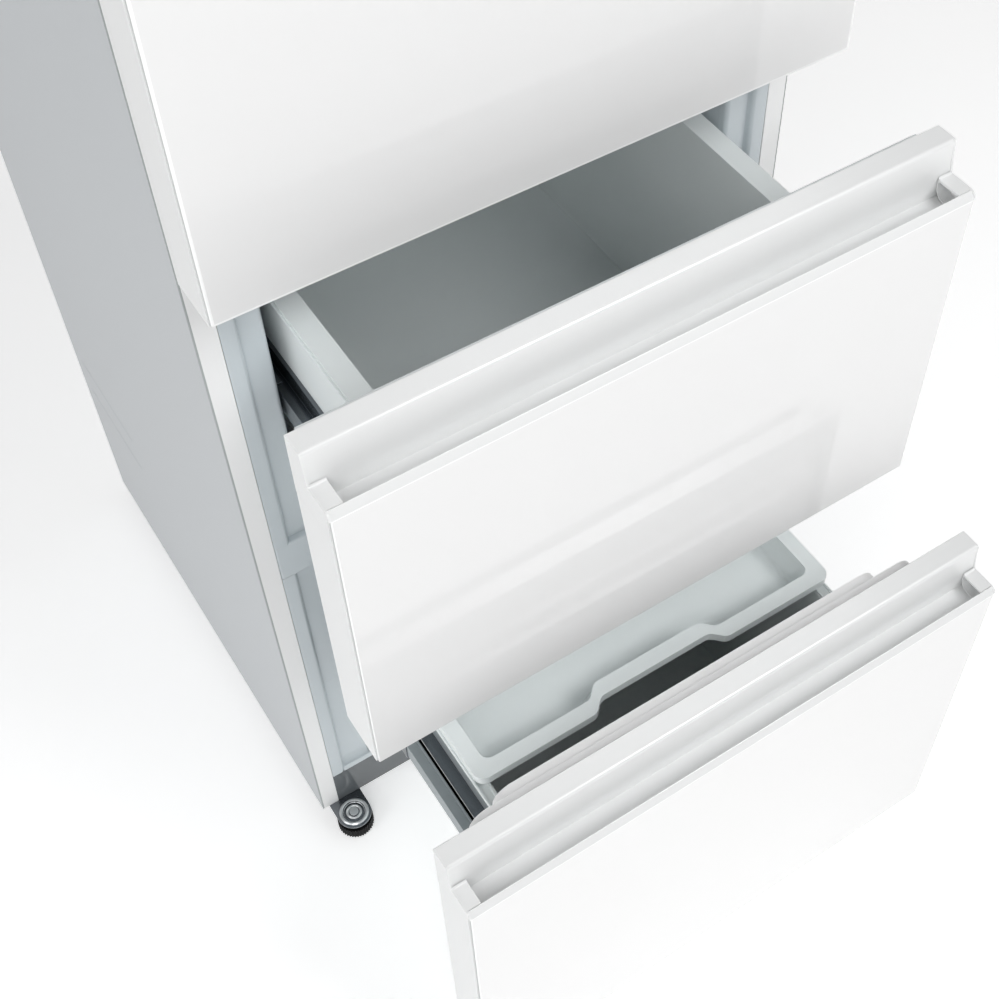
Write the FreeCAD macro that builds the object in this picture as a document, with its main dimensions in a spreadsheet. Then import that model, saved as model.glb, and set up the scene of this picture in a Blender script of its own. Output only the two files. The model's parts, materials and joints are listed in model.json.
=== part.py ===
import FreeCAD, Part
import os
import re
import Sketcher

# Fridge freezer with one wide upper door and two full width freezer drawers.
# The fronts face -Y, +X is to the right, +Z is up.
# The origin is on the floor, in the middle of the cabinet's footprint.
# The document stands as in the photograph: door shut, both drawers part open.

doc = FreeCAD.newDocument("fridge_freezer")

# Driving sizes, in millimetres, counts and degrees
SIZES = {
    # cabinet
    "case_width": 700, "case_depth": 710, "case_height": 1820, "foot_height": 30,
    "sheet_wall": 1, "flange_width": 25, "flange_return": 11, "flange_sheet": 1.2,
    "groove_width": 2, "groove_sink": 0.4, "groove_back": 33, "groove_length": 185,
    "low_groove_rise": 261, "high_groove_rise": 325,
    "panel_wall": 1, "foam_gap": 0.2, "seat_gap": 0.3, "overrun": 5,
    # liners and dividers
    "liner_wall": 2, "lip_width": 20, "ledge_width": 28, "ledge_recess": 9, "fridge_step": 5,
    "divider_height": 60, "divider_depth": 20, "divider_drop": 2.75,
    "kick_height": 71, "kick_wall": 3, "kick_return": 8, "sill_height": 11,
    "top_wall": 60, "back_wall": 62, "bay_depth": 200, "bay_height": 230, "bay_wall": 55,
    "rib_wide": 8, "rib_high": 8,
    # base, feet and rollers
    "base_high": 21.8, "base_bar": 20, "base_wall": 2, "front_rail_depth": 40,
    "tray_plate_rise": 14, "foot_plate_wide": 49, "foot_plate_wall": 3, "foot_from_side": 34.5,
    "foot_forward": 27.5, "foot_plate_under": 55, "emboss_radius": 18.5, "emboss_wide": 3.5,
    "emboss_high": 1.5, "boss_radius": 10, "boss_high": 1, "stud_radius": 4, "fit_gap": 0.06,
    "stud_head_radius": 6.5, "stud_head_high": 1.7, "disc_radius": 25.5, "disc_high": 18,
    "tooth_radius": 1.5, "tooth_count": 40,
    "roller_radius": 20, "roller_wide": 22, "roller_from_side": 49, "roller_from_back": 55,
    "axle_radius": 4, "lug_wall": 3, "lug_gap": 1, "lug_half": 12, "lug_under": 8,
    # compressor bay
    "can_radius": 76, "can_high": 128, "can_round": 34, "can_x": 95, "can_y_share": 0.5,
    "mount_half": 88, "mount_wall": 3, "grommet_radius": 11, "grommet_high": 14,
    "pipe_radius": 5, "pipe_reach": 26,
    "cover_wall": 2, "vent_wide": 70, "vent_high": 6, "vent_pitch": 16, "vent_rows": 8,
    "vent_columns": 3, "vent_step": 110, "vent_first_rise": 62,
    # cold air parts
    "fan_cover_wall": 3, "fan_cover_stand": 62, "fan_rise": 295, "fan_hole_radius": 60,
    "guard_bar": 4, "intake_high": 10, "intake_wide": 200, "intake_rise": 30, "intake_rows": 3,
    "hub_radius": 18, "hub_long": 20, "blade_reach": 52, "blade_chord": 24, "blade_wall": 2,
    "blade_count": 5, "blade_pitch_degrees": 35, "shaft_radius": 2, "motor_radius": 24, "motor_long": 28,
    "fan_set_back": 6, "coil_half": 200, "coil_depth": 46, "coil_high": 180, "coil_rise": 22,
    "fin_wall": 1.5, "fin_count": 14, "coil_pipe_radius": 4, "coil_rows": 4,
    "coil_front_share": 0.3, "coil_back_share": 0.7,
    # shelves, crisper and door bins
    "shelf_wall": 4, "shelf_trim_high": 18, "shelf_trim_deep": 8, "shelf_front": 140,
    "upper_shelf_share": 0.66, "lower_shelf_share": 0.34, "shelf_side_gap": 0.4,
    "crisper_side": 12, "crisper_wall": 3, "crisper_top_gap": 12, "crisper_back": 45,
    "crisper_lip": 10,
    "bin_depth": 115, "bin_wall": 3, "lower_bin_share": 0.42, "lower_bin_high_share": 0.15,
    "upper_bin_share": 0.72, "upper_bin_high_share": 0.13,
    # fronts
    "front_overhang": 2.5, "front_thickness": 66.6, "glass_wall": 4, "glass_inset": 1.5,
    "front_gap": 4.5, "lowest_rise": 39, "bottom_high": 546.5, "middle_high": 460.5,
    "door_top_gap": 5, "middle_open": 200, "bottom_open": 375,
    "gasket_gap": 14, "gasket_wide": 15, "gasket_inset": 14,
    "step_one_side": 51.8, "step_one_deep": 22, "step_two_side": 90.5, "step_two_deep": 39,
    "step_one_drop": 32.5, "step_two_drop": 47, "step_one_rise": 48, "step_two_rise": 62,
    "step_round": 24,
    "dyke_side": 65, "dyke_wide": 27, "dyke_deep": 44, "dyke_rise": 40, "dyke_drop": 66,
    "dyke_apron": 8, "liner_sheet": 2,
    # recessed grip along each drawer front
    "grip_high": 75, "grip_top_deep": 26.6, "grip_throat": 40, "grip_lean": 4.1,
    "grip_floor": 61, "grip_lip_back": 59.5, "grip_lip_drop": 38, "grip_lip_low": 46,
    "grip_hollow_wall": 4, "cap_wall": 2.5, "cap_tab": 15.3, "cap_roof": 3,
    "under_groove_high": 20, "under_groove_deep": 24, "under_groove_end": 90,
    "door_groove_face": 12,
    # drawer boxes
    "box_outer_side": 20, "box_rim_wide": 25, "box_wall": 3, "box_rim_drop": 105.5,
    "box_skirt_high": 87, "box_back_gap": 41, "box_floor_gap": 27, "bead_wide": 2.5,
    "bead_high": 4, "bead_drop": 3,
    "basket_side": 26.6, "basket_rim_wide": 17, "basket_rim_drop": 142.5, "basket_back_gap": 30,
    "basket_floor_gap": 20, "basket_draft_degrees": 2.5, "box_round": 14,
    "tray_high": 13, "tray_rim_wide": 15, "tray_rise": 14, "tray_deep": 45, "tray_wall": 2.5,
    "tray_front": 88, "tray_back_gap": 51, "tray_round": 14, "tray_floor_inset": 23,
    "tray_taper_degrees": 10, "tray_floor_round": 8,
    "tray_wide_part": 150, "notch_deep": 16, "notch_half": 93, "notch_slant": 16,
    "runner_wide": 7, "runner_inset": 3.5,
    # telescopic slides
    "rail_wall": 1.5, "cabinet_rail_half": 18, "rail_depth": 10.7, "runner_depth": 11.9,
    "web_out": 15.5, "web_wall": 2, "middle_rail_rise": 205, "bottom_rail_rise": 268,
    "middle_rail_gap": 81, "bottom_rail_gap": 38,
    "side_frame_high": 69, "side_frame_drop": 73, "side_frame_deep": 20, "side_frame_gap": 3.2,
    "side_frame_block": 16,
    # hinges
    "pin_radius": 5, "pin_long": 24, "hinge_from_side": 12.5, "hinge_forward": 45,
    "hinge_wall": 3, "hinge_arm_inner": 22, "hinge_arm_outer": 8, "hinge_arm_nose": 12,
    "hinge_plate_wide": 58, "hinge_plate_back": 65,
    "cover_gap": 0.4, "hinge_cover_high": 20, "hinge_cover_wall": 2, "leg_high": 20,
    "leg_wide": 52, "leg_drop": 12,
}

sheet = doc.addObject("Spreadsheet::Sheet", "sizes")
for row, (name, value) in enumerate(SIZES.items(), 1):
    sheet.set(f"A{row}", name)
    sheet.set(f"B{row}", str(value))
    sheet.setAlias(f"B{row}", name)
doc.recompute()

places = doc.addObject("App::VarSet", "places")
OWNERS = {name: "sizes." for name in SIZES}
NODES = {}
ALONG_SHARE = 0.7


def full(formula):
    """A formula with the sheet or place set named before each of its words."""
    return re.sub(r"[a-z][a-z_]+", lambda word: OWNERS.get(word.group(), "") + word.group(), formula)


def place(name, formula):
    """A place or size that follows from the driving sizes."""
    places.addProperty("App::PropertyFloat", name)
    places.setExpression(name, full(formula))
    OWNERS[name] = "places."


def node(name, obj):
    """Names a finished sub-part."""
    obj.Label = name
    NODES[name] = obj
    return obj


def block(name, low, high):
    """A block from its low corner to its high corner."""
    obj = doc.addObject("Part::Box", name)
    for side, axis, start, end in zip(("Length", "Width", "Height"), "xyz", low, high):
        obj.setExpression(side, full(f"({end}) - ({start})"))
        obj.setExpression(f"Placement.Base.{axis}", full(start))
    return obj


TURNS = {
    "x": FreeCAD.Rotation(FreeCAD.Vector(0, 1, 0), 90),
    "y": FreeCAD.Rotation(FreeCAD.Vector(1, 0, 0), -90),
    "z": FreeCAD.Rotation(),
}


def rod(name, axis, start, radius, length):
    """A round bar from its start point along an axis."""
    obj = doc.addObject("Part::Cylinder", name)
    obj.Placement = FreeCAD.Placement(FreeCAD.Vector(), TURNS[axis])
    obj.setExpression("Radius", full(radius))
    obj.setExpression("Height", full(length))
    for letter, formula in zip("xyz", start):
        obj.setExpression(f"Placement.Base.{letter}", full(formula))
    return obj


def fuse(name, pieces):
    """Several pieces made one."""
    obj = doc.addObject("Part::MultiFuse", name)
    obj.Shapes = pieces
    obj.Refine = True
    return obj


def cut(name, base, *tools):
    """One piece less its tools."""
    tool = tools[0] if len(tools) == 1 else fuse(name + "_tools", list(tools))
    obj = doc.addObject("Part::Cut", name)
    obj.Base = base
    obj.Tool = tool
    obj.Refine = True
    return obj


def group(name, pieces):
    """Separate solids that share one node."""
    obj = doc.addObject("Part::Compound", name)
    obj.Links = pieces
    return obj


def span(side, near, far):
    """The low and high X of a piece that lies between two distances from the middle."""
    if side == "right":
        return near, far
    return f"-({far})", f"-({near})"


def outline(sketch, points):
    """A closed outline whose corners are pairs of formulas."""
    count = len(points)
    for index in range(count):
        first = FreeCAD.Vector(index, index * index, 0)
        second = FreeCAD.Vector(index + 1, (index + 1) * (index + 1), 0)
        if index == count - 1:
            second = FreeCAD.Vector()
        sketch.addGeometry(Part.LineSegment(first, second), False)
    for index in range(count):
        sketch.addConstraint(Sketcher.Constraint("Coincident", index, 2, (index + 1) % count, 1))
    for index, pair in enumerate(points):
        for kind, formula in zip(("DistanceX", "DistanceY"), pair):
            number = sketch.addConstraint(Sketcher.Constraint(kind, -1, 1, index, 1, 1 + index))
            sketch.setExpression(f"Constraints[{number}]", full(formula))


def body_sketch(body, role, name):
    """A sketch on one of its own body's origin planes."""
    sketch = body.newObject("Sketcher::SketchObject", name)
    origin_plane = next(item for item in body.Origin.OriginFeatures if item.Role == role)
    sketch.AttachmentSupport = (origin_plane, [""])
    sketch.MapMode = "FlatFace"
    return sketch


def padded(name, role, points, length, start=("0", "0", "0")):
    """A body made by padding one outline."""
    body = doc.addObject("PartDesign::Body", name)
    sketch = body_sketch(body, role, name + "_outline")
    outline(sketch, points)
    pad = body.newObject("PartDesign::Pad", name + "_pad")
    pad.Profile = sketch
    pad.setExpression("Length", full(length))
    for letter, formula in zip("xyz", start):
        body.setExpression(f"Placement.Base.{letter}", full(formula))
    sketch.Visibility = False
    return body


def rounded(body, radius, wanted):
    """Rounds the edges of a body that a test picks."""
    doc.recompute()
    base = body.Tip
    edges = [f"Edge{index}" for index, edge in enumerate(base.Shape.Edges, 1) if wanted(edge)]
    fillet = body.newObject("PartDesign::Fillet", body.Name + "_round")
    fillet.Base = (base, edges)
    fillet.setExpression("Radius", full(radius))
    return fillet


def runs_along(edge, axis):
    """Whether a straight edge runs mostly along an axis."""
    return abs(getattr(edge.tangentAt(edge.FirstParameter), axis)) > ALONG_SHARE


def tub(name, half, start, end, low, high, radius, draft="0"):
    """A block with rounded upright corners, whose sides lean out by a draft in degrees as they rise."""
    corners = [(f"-({half})", start), (half, start), (half, end), (f"-({half})", end)]
    body = padded(name, "XY_Plane", corners, f"({high}) - ({low})", ("0", "0", low))
    body.Tip.setExpression("TaperAngle", full(draft))
    rounded(body, radius, lambda edge: runs_along(edge, "z"))
    return body


# Places shared by many pieces
place("case_half", "case_width / 2")
place("front_y", "-case_depth / 2")
place("back_y", "case_depth / 2")
place("case_low", "foot_height")
place("case_high", "foot_height + case_height")
place("case_inside", "case_half - sheet_wall")
place("opening_half", "case_half - flange_width")
place("return_y", "front_y + flange_return")
place("lip_half", "opening_half - lip_width")
place("freezer_half", "lip_half - ledge_width")
place("fridge_half", "lip_half - fridge_step")
place("ledge_y", "front_y + ledge_recess")
place("front_half", "case_half + front_overhang")
place("bottom_front_low", "case_low + lowest_rise")
place("bottom_front_high", "bottom_front_low + bottom_high")
place("middle_front_low", "bottom_front_high + front_gap")
place("middle_front_high", "middle_front_low + middle_high")
place("door_low", "middle_front_high + front_gap")
place("door_top", "case_high - door_top_gap")
place("closed_y", "front_y - gasket_gap")
place("middle_y", "closed_y - middle_open")
place("bottom_y", "closed_y - bottom_open")
place("low_divider_low", "bottom_front_high + front_gap / 2 - divider_drop - divider_height / 2")
place("low_divider_high", "low_divider_low + divider_height")
place("high_divider_low", "middle_front_high + front_gap / 2 - divider_drop - divider_height / 2")
place("high_divider_high", "high_divider_low + divider_height")
place("bottom_floor", "case_low + kick_height + sill_height")
place("fridge_ceiling", "case_high - top_wall")
place("bottom_back_y", "back_y - bay_depth - bay_wall")
place("deep_back_y", "back_y - back_wall")
place("bay_front_y", "back_y - bay_depth")
place("bay_top", "case_low + bay_height")
place("foam_front_y", "ledge_y + liner_wall + foam_gap")
place("foam_half", "case_inside - foam_gap")
place("base_top", "case_low + base_high")
place("panel_y", "back_y - panel_wall - foam_gap")
place("divider_back_y", "front_y + divider_depth")
place("fridge_room", "fridge_ceiling - high_divider_high")
place("fan_cover_y", "deep_back_y - fan_cover_stand")
place("shut_box_y", "closed_y + step_two_deep")
place("box_length", "fan_cover_y - box_back_gap - shut_box_y")
place("basket_length", "bottom_back_y - basket_back_gap - shut_box_y")
place("tray_length", "basket_length - tray_back_gap - (tray_front - step_two_deep)")
place("middle_rail_long", "fan_cover_y - middle_rail_gap - shut_box_y")
place("bottom_rail_long", "bottom_back_y - bottom_rail_gap - shut_box_y")

SIDES = ("left", "right")


# Outer case: one folded sheet over both sides and the top, with pressed grooves near the back
def make_outer_case():
    shell_front = "front_y + flange_sheet"
    outer = block("case_blank", ("-case_half", shell_front, "case_low"),
                  ("case_half", "back_y", "case_high"))
    hollow = block("case_hollow", ("-case_inside", f"{shell_front} - overrun", "case_low - overrun"),
                   ("case_inside", "back_y + overrun", "case_high - sheet_wall"))
    grooves = []
    for side in SIDES:
        low_x, high_x = span(side, "case_half - groove_sink", "case_half + overrun")
        for level in ("low_groove_rise", "high_groove_rise"):
            grooves.append(block(f"{side}_{level}",
                                 (low_x, "back_y - groove_back - groove_length", f"case_low + {level}"),
                                 (high_x, "back_y - groove_back", f"case_low + {level} + groove_width")))
    node("outer_case", cut("outer_case", outer, hollow, *grooves))


# Back panel and the flanged frame round the front of the cabinet
def make_back_panel():
    node("back_panel", block("back_panel", ("-foam_half", "panel_y", "bay_top + foam_gap"),
                             ("foam_half", "panel_y + panel_wall", "case_high - sheet_wall - foam_gap")))


def make_front_frame():
    web = block("frame_web", ("-case_half", "front_y", "case_low"),
                ("case_half", "front_y + flange_sheet", "case_high"))
    inner = block("frame_return", ("-(opening_half + flange_sheet)", "front_y", "case_low"),
                  ("opening_half + flange_sheet", "return_y", "case_high - flange_width + flange_sheet"))
    opening = block("frame_opening", ("-opening_half", "front_y - overrun", "case_low - overrun"),
                    ("opening_half", "return_y + overrun", "case_high - flange_width"))
    node("front_frame", cut("front_frame", fuse("frame_fold", [web, inner]), opening))


def divider_room(name, low, high):
    """The space that a divider bar takes out of the pieces behind it."""
    return block(name, ("-opening_half", "front_y - overrun", f"{low} - foam_gap"),
                 ("opening_half", "divider_back_y + foam_gap", f"{high}"))


# Foam between the case and the liners
def make_foam():
    blank = block("foam_blank", ("-foam_half", "foam_front_y", "base_top + foam_gap"),
                  ("foam_half", "panel_y - foam_gap", "case_high - sheet_wall - foam_gap"))
    rooms = []
    for name, half, low, high, back in (
            ("bottom", "freezer_half", "bottom_floor", "low_divider_low", "bottom_back_y"),
            ("middle", "freezer_half", "low_divider_high", "high_divider_low", "deep_back_y"),
            ("fridge", "fridge_half", "high_divider_high", "fridge_ceiling", "deep_back_y")):
        grow = "liner_wall + foam_gap"
        rooms.append(block(f"{name}_room", (f"-({half} + {grow})", "foam_front_y - overrun",
                                            f"{low} - ({grow})"),
                           (f"{half} + {grow}", f"{back} + {grow}", f"{high} + {grow}")))
    rooms.append(divider_room("foam_low_divider", "low_divider_low", "low_divider_high"))
    rooms.append(divider_room("foam_high_divider", "high_divider_low", "high_divider_high"))
    rooms.append(block("bay_room", ("-case_half", "bay_front_y", "case_low - overrun"),
                       ("case_half", "back_y", "bay_top")))
    node("insulation_foam", cut("insulation_foam", blank, *rooms))


def liner_shell(name, half, low, high, back, front):
    """An open fronted box with the liner's wall round it."""
    outer = block(f"{name}_outer", (f"-({half} + liner_wall)", front, f"{low} - liner_wall"),
                  (f"{half} + liner_wall", f"{back} + liner_wall", f"{high} + liner_wall"))
    inner = block(f"{name}_inner", (f"-({half})", f"{front} - overrun", low), (half, back, high))
    return cut(f"{name}_shell", outer, inner)


# Freezer liners: a lip at the front, a step back to a ledge, then the wall
def make_freezer_liner(name, low, high, back, sill):
    shell = liner_shell(name, "freezer_half", low, high, back, "ledge_y")
    pieces = []
    lip_low = f"{low} - sill_height" if sill else low
    for side in SIDES:
        for part, near, far, start, end in (
                ("ledge", "freezer_half", "lip_half + liner_wall", "ledge_y", "ledge_y + liner_wall"),
                ("step", "lip_half", "lip_half + liner_wall", "front_y", "ledge_y"),
                ("lip", "lip_half", "opening_half - foam_gap", "front_y", "front_y + liner_wall")):
            low_x, high_x = span(side, near, far)
            pieces.append(block(f"{name}_{side}_{part}", (low_x, start, lip_low), (high_x, end, high)))
    if sill:
        pieces.append(block(f"{name}_sill", ("-(lip_half + liner_wall)", "front_y", lip_low),
                            ("lip_half + liner_wall", "front_y + liner_wall", low)))
        pieces.append(block(f"{name}_floor", ("-(freezer_half + liner_wall)", "front_y",
                                              f"{low} - liner_wall"),
                            ("freezer_half + liner_wall", "ledge_y + liner_wall", low)))
    clear_low = divider_room(f"{name}_low_clear", "low_divider_low", "low_divider_high")
    clear_high = divider_room(f"{name}_high_clear", "high_divider_low", "high_divider_high")
    return cut(name, fuse(f"{name}_whole", [shell] + pieces), clear_low, clear_high)


def make_liners():
    node("bottom_freezer_liner", make_freezer_liner("bottom_freezer_liner", "bottom_floor",
                                                    "low_divider_low", "bottom_back_y", True))
    node("middle_freezer_liner", make_freezer_liner("middle_freezer_liner", "low_divider_high",
                                                    "high_divider_low", "deep_back_y", False))
    shell = liner_shell("fridge_liner", "fridge_half", "high_divider_high", "fridge_ceiling", "deep_back_y",
                        "front_y")
    pieces = []
    for side in SIDES:
        low_x, high_x = span(side, "fridge_half", "opening_half - foam_gap")
        pieces.append(block(f"fridge_{side}_lip", (low_x, "front_y", "high_divider_high"),
                            (high_x, "front_y + liner_wall", "case_high - flange_width - foam_gap")))
        low_x, high_x = span(side, "fridge_half - rib_wide", "fridge_half")
        for level in ("lower_shelf_share", "upper_shelf_share"):
            top = f"high_divider_high + fridge_room * {level}"
            pieces.append(block(f"fridge_{side}_{level}",
                                (low_x, "front_y + shelf_front", f"{top} - rib_high"),
                                (high_x, "deep_back_y", top)))
    pieces.append(block("fridge_top_lip", ("-opening_half + foam_gap", "front_y", "fridge_ceiling"),
                        ("opening_half - foam_gap", "front_y + liner_wall",
                         "case_high - flange_width - foam_gap")))
    clear = divider_room("fridge_clear", "high_divider_low", "high_divider_high")
    node("fridge_liner", cut("fridge_liner", fuse("fridge_liner_whole", [shell] + pieces), clear))


# Divider bars between the compartments, and the kick plate below them
def make_front_bars():
    for name, low, high in (("freezer_divider_bar", "low_divider_low", "low_divider_high"),
                            ("fridge_divider_bar", "high_divider_low", "high_divider_high")):
        node(name, block(name, ("-opening_half + foam_gap", "front_y", low),
                         ("opening_half - foam_gap", "divider_back_y", high)))
    top = "case_low + kick_height"
    plate = block("kick_face", ("-opening_half + foam_gap", "front_y", "case_low"),
                  ("opening_half - foam_gap", "front_y + kick_wall", f"{top} - foam_gap"))
    rail = block("kick_fold", ("-opening_half + foam_gap", "front_y", f"{top} - foam_gap - kick_wall"),
                 ("opening_half - foam_gap", "front_y + kick_return", f"{top} - foam_gap"))
    node("kick_plate", fuse("kick_plate", [plate, rail]))


# Steel base: side bars, front rail, compressor plate and the lugs of the rear rollers
def make_base_frame():
    pieces = [
        block("front_rail", ("-foam_half", "return_y + foam_gap", "case_low"),
              ("foam_half", "return_y + front_rail_depth", "base_top")),
        block("compressor_plate", ("-foam_half", "bay_front_y - base_bar", "case_low + tray_plate_rise"),
              ("foam_half", "panel_y - cover_wall - foam_gap", "case_low + tray_plate_rise + base_wall")),
        block("floor_sheet", ("-foam_half", "return_y + foam_gap", "base_top - base_wall"),
              ("foam_half", "bay_front_y", "base_top")),
        block("bay_step", ("-foam_half", "bay_front_y + foam_gap", "case_low + tray_plate_rise"),
              ("foam_half", "bay_front_y + foam_gap + base_wall", "bay_top - foam_gap")),
        block("bay_roof", ("-foam_half", "bay_front_y + foam_gap", "bay_top - foam_gap - base_wall"),
              ("foam_half", "panel_y - cover_wall - foam_gap", "bay_top - foam_gap")),
    ]
    for side in SIDES:
        low_x, high_x = span(side, "foam_half - base_bar", "foam_half")
        pieces.append(block(f"{side}_bar", (low_x, "return_y + front_rail_depth", "case_low"),
                            (high_x, "panel_y - cover_wall - foam_gap", "base_top")))
        for place_name, near in (("near", "roller_near - lug_gap - lug_wall"),
                                 ("far", "roller_near + roller_wide + lug_gap")):
            low_x, high_x = span(side, near, f"{near} + lug_wall")
            pieces.append(block(f"{side}_{place_name}_lug", (low_x, "axle_y - lug_half", "lug_under"),
                                (high_x, "axle_y + lug_half", "case_low + tray_plate_rise + base_wall")))
    bore = rod("axle_bore", "x", ("-foam_half", "axle_y", "roller_radius"), "axle_radius + fit_gap",
               "foam_half * 2")
    node("base_frame", cut("base_frame", fuse("base_whole", pieces), bore))


place("roller_near", "case_half - roller_from_side - roller_wide / 2")
place("axle_y", "back_y - roller_from_back")


def make_rear_rollers():
    reach = "roller_near + roller_wide + lug_gap + lug_wall"
    axle = rod("axle", "x", (f"-({reach})", "axle_y", "roller_radius"), "axle_radius", f"({reach}) * 2")
    wheels = []
    for side in SIDES:
        start, _ = span(side, "roller_near", "roller_near + roller_wide")
        wheels.append(rod(f"{side}_wheel", "x", (start, "axle_y", "roller_radius"), "roller_radius",
                          "roller_wide"))
    node("rear_rollers", fuse("rear_rollers", [axle] + wheels))


# Front feet: a pressed steel bracket on each side and a knurled levelling foot that turns in it
place("foot_x", "case_half - foot_from_side")
place("foot_y", "front_y - foot_forward")


def make_foot_bracket(side):
    sign = "-" if side == "left" else ""
    centre = f"{sign}foot_x"
    half = "foot_plate_wide / 2"
    low = "case_low - foot_plate_wall"
    plate = block(f"{side}_foot_plate", (f"{centre} - {half}", "foot_y", low),
                  (f"{centre} + {half}", "front_y + foot_plate_under", "case_low"))
    nose = rod(f"{side}_foot_nose", "z", (centre, "foot_y", low), half, "foot_plate_wall")
    ring = rod(f"{side}_foot_ring", "z", (centre, "foot_y", low), "emboss_radius",
               "foot_plate_wall + emboss_high")
    dish = rod(f"{side}_foot_dish", "z", (centre, "foot_y", "case_low"), "emboss_radius - emboss_wide",
               "emboss_high + overrun")
    boss = rod(f"{side}_foot_boss", "z", (centre, "foot_y", low), "boss_radius",
               "foot_plate_wall + boss_high")
    bore = rod(f"{side}_foot_bore", "z", (centre, "foot_y", f"{low} - overrun"), "stud_radius + fit_gap",
               "foot_plate_wall + boss_high + overrun * 2")
    pressed = cut(f"{side}_foot_pressed", fuse(f"{side}_foot_raised", [plate, nose, ring]), dish)
    return cut(f"{side}_foot_bracket", fuse(f"{side}_foot_whole", [pressed, boss]), bore)


def make_levelling_foot(side):
    name = f"{side}_levelling_foot"
    body = doc.addObject("PartDesign::Body", name)
    sketch = body_sketch(body, "XY_Plane", f"{name}_disc")
    sketch.addGeometry(Part.Circle(FreeCAD.Vector(), FreeCAD.Vector(0, 0, 1), SIZES["disc_radius"]), False)
    sketch.addConstraint(Sketcher.Constraint("Coincident", 0, 3, -1, 1))
    number = sketch.addConstraint(Sketcher.Constraint("Radius", 0, SIZES["disc_radius"]))
    sketch.setExpression(f"Constraints[{number}]", full("disc_radius"))
    disc = body.newObject("PartDesign::Pad", f"{name}_disc_pad")
    disc.Profile = sketch
    disc.setExpression("Length", full("disc_high"))
    tooth = body_sketch(body, "XY_Plane", f"{name}_tooth")
    edge = FreeCAD.Vector(SIZES["disc_radius"], 0, 0)
    tooth.addGeometry(Part.Circle(edge, FreeCAD.Vector(0, 0, 1), SIZES["tooth_radius"]), False)
    tooth.addConstraint(Sketcher.Constraint("PointOnObject", 0, 3, -1))
    number = tooth.addConstraint(Sketcher.Constraint("DistanceX", -1, 1, 0, 3, SIZES["disc_radius"]))
    tooth.setExpression(f"Constraints[{number}]", full("disc_radius"))
    number = tooth.addConstraint(Sketcher.Constraint("Radius", 0, SIZES["tooth_radius"]))
    tooth.setExpression(f"Constraints[{number}]", full("tooth_radius"))
    doc.recompute()
    notch = body.newObject("PartDesign::Pocket", f"{name}_notch")
    notch.Profile = tooth
    notch.Reversed = True
    notch.setExpression("Length", full("disc_high"))
    doc.recompute()
    knurl = body.newObject("PartDesign::PolarPattern", f"{name}_knurl")
    knurl.Originals = [notch]
    knurl.Axis = (sketch, ["N_Axis"])
    knurl.Angle = 360
    knurl.setExpression("Occurrences", full("tooth_count"))
    body.Tip = knurl
    centre = "-foot_x" if side == "left" else "foot_x"
    body.setExpression("Placement.Base.x", full(centre))
    body.setExpression("Placement.Base.y", full("foot_y"))
    stud_top = "case_low + boss_high + seat_gap"
    stud = rod(f"{name}_stud", "z", (centre, "foot_y", "disc_high"), "stud_radius",
               f"{stud_top} - disc_high")
    head = rod(f"{name}_head", "z", (centre, "foot_y", stud_top), "stud_head_radius", "stud_head_high")
    return fuse(name, [body, stud, head])


def make_feet():
    node("foot_brackets", group("foot_brackets", [make_foot_bracket(side) for side in SIDES]))
    for side in SIDES:
        node(f"{side}_levelling_foot", make_levelling_foot(side))


# Compressor on its plate, and the vented cover of its bay
place("can_y", "bay_front_y + bay_depth * can_y_share")
place("can_floor", "case_low + tray_plate_rise + base_wall")


def make_compressor():
    can = rod("can", "z", ("can_x", "can_y", "can_floor + grommet_high"), "can_radius", "can_high")
    doc.recompute()
    dome = doc.addObject("Part::Fillet", "can_dome")
    dome.Base = can
    rims = [index for index, edge in enumerate(can.Shape.Edges, 1) if edge.Closed]
    round_radius = sheet.get("can_round")
    dome.Edges = [(index, round_radius, round_radius) for index in rims]
    top = "can_floor + grommet_high"
    pieces = [dome, block("can_mount", ("can_x - mount_half", "can_y - can_radius", top),
                          ("can_x + mount_half", "can_y + can_radius", f"{top} + mount_wall"))]
    for x_sign in "-+":
        for y_sign in "-+":
            pieces.append(rod("grommet", "z", (f"can_x {x_sign} (mount_half - grommet_radius)",
                                               f"can_y {y_sign} (can_radius - grommet_radius)", "can_floor"),
                              "grommet_radius", "grommet_high"))
    pieces.append(rod("can_pipe", "x", ("can_x - can_radius - pipe_reach", "can_y",
                                        f"{top} + can_high / 2"),
                      "pipe_radius", "pipe_reach + can_round"))
    node("compressor", fuse("compressor", pieces))


def make_compressor_cover():
    blank = block("cover_blank", ("-foam_half", "panel_y - cover_wall", "base_top + foam_gap"),
                  ("foam_half", "panel_y", "bay_top - foam_gap"))
    vents = []
    for column in range(SIZES["vent_columns"]):
        middle = f"({column} - (vent_columns - 1) / 2) * vent_step"
        for number in range(SIZES["vent_rows"]):
            low = f"case_low + vent_first_rise + {number} * vent_pitch"
            vents.append(block("vent", (f"{middle} - vent_wide / 2", "panel_y - cover_wall - overrun", low),
                               (f"{middle} + vent_wide / 2", "panel_y + overrun", f"{low} + vent_high")))
    node("compressor_cover", cut("compressor_cover", blank, *vents))


# Fan cover, fan, motor and evaporator at the back of the middle compartment
place("fan_z", "low_divider_high + fan_rise")
place("fan_y", "fan_cover_y + fan_cover_wall + fan_set_back")


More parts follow.
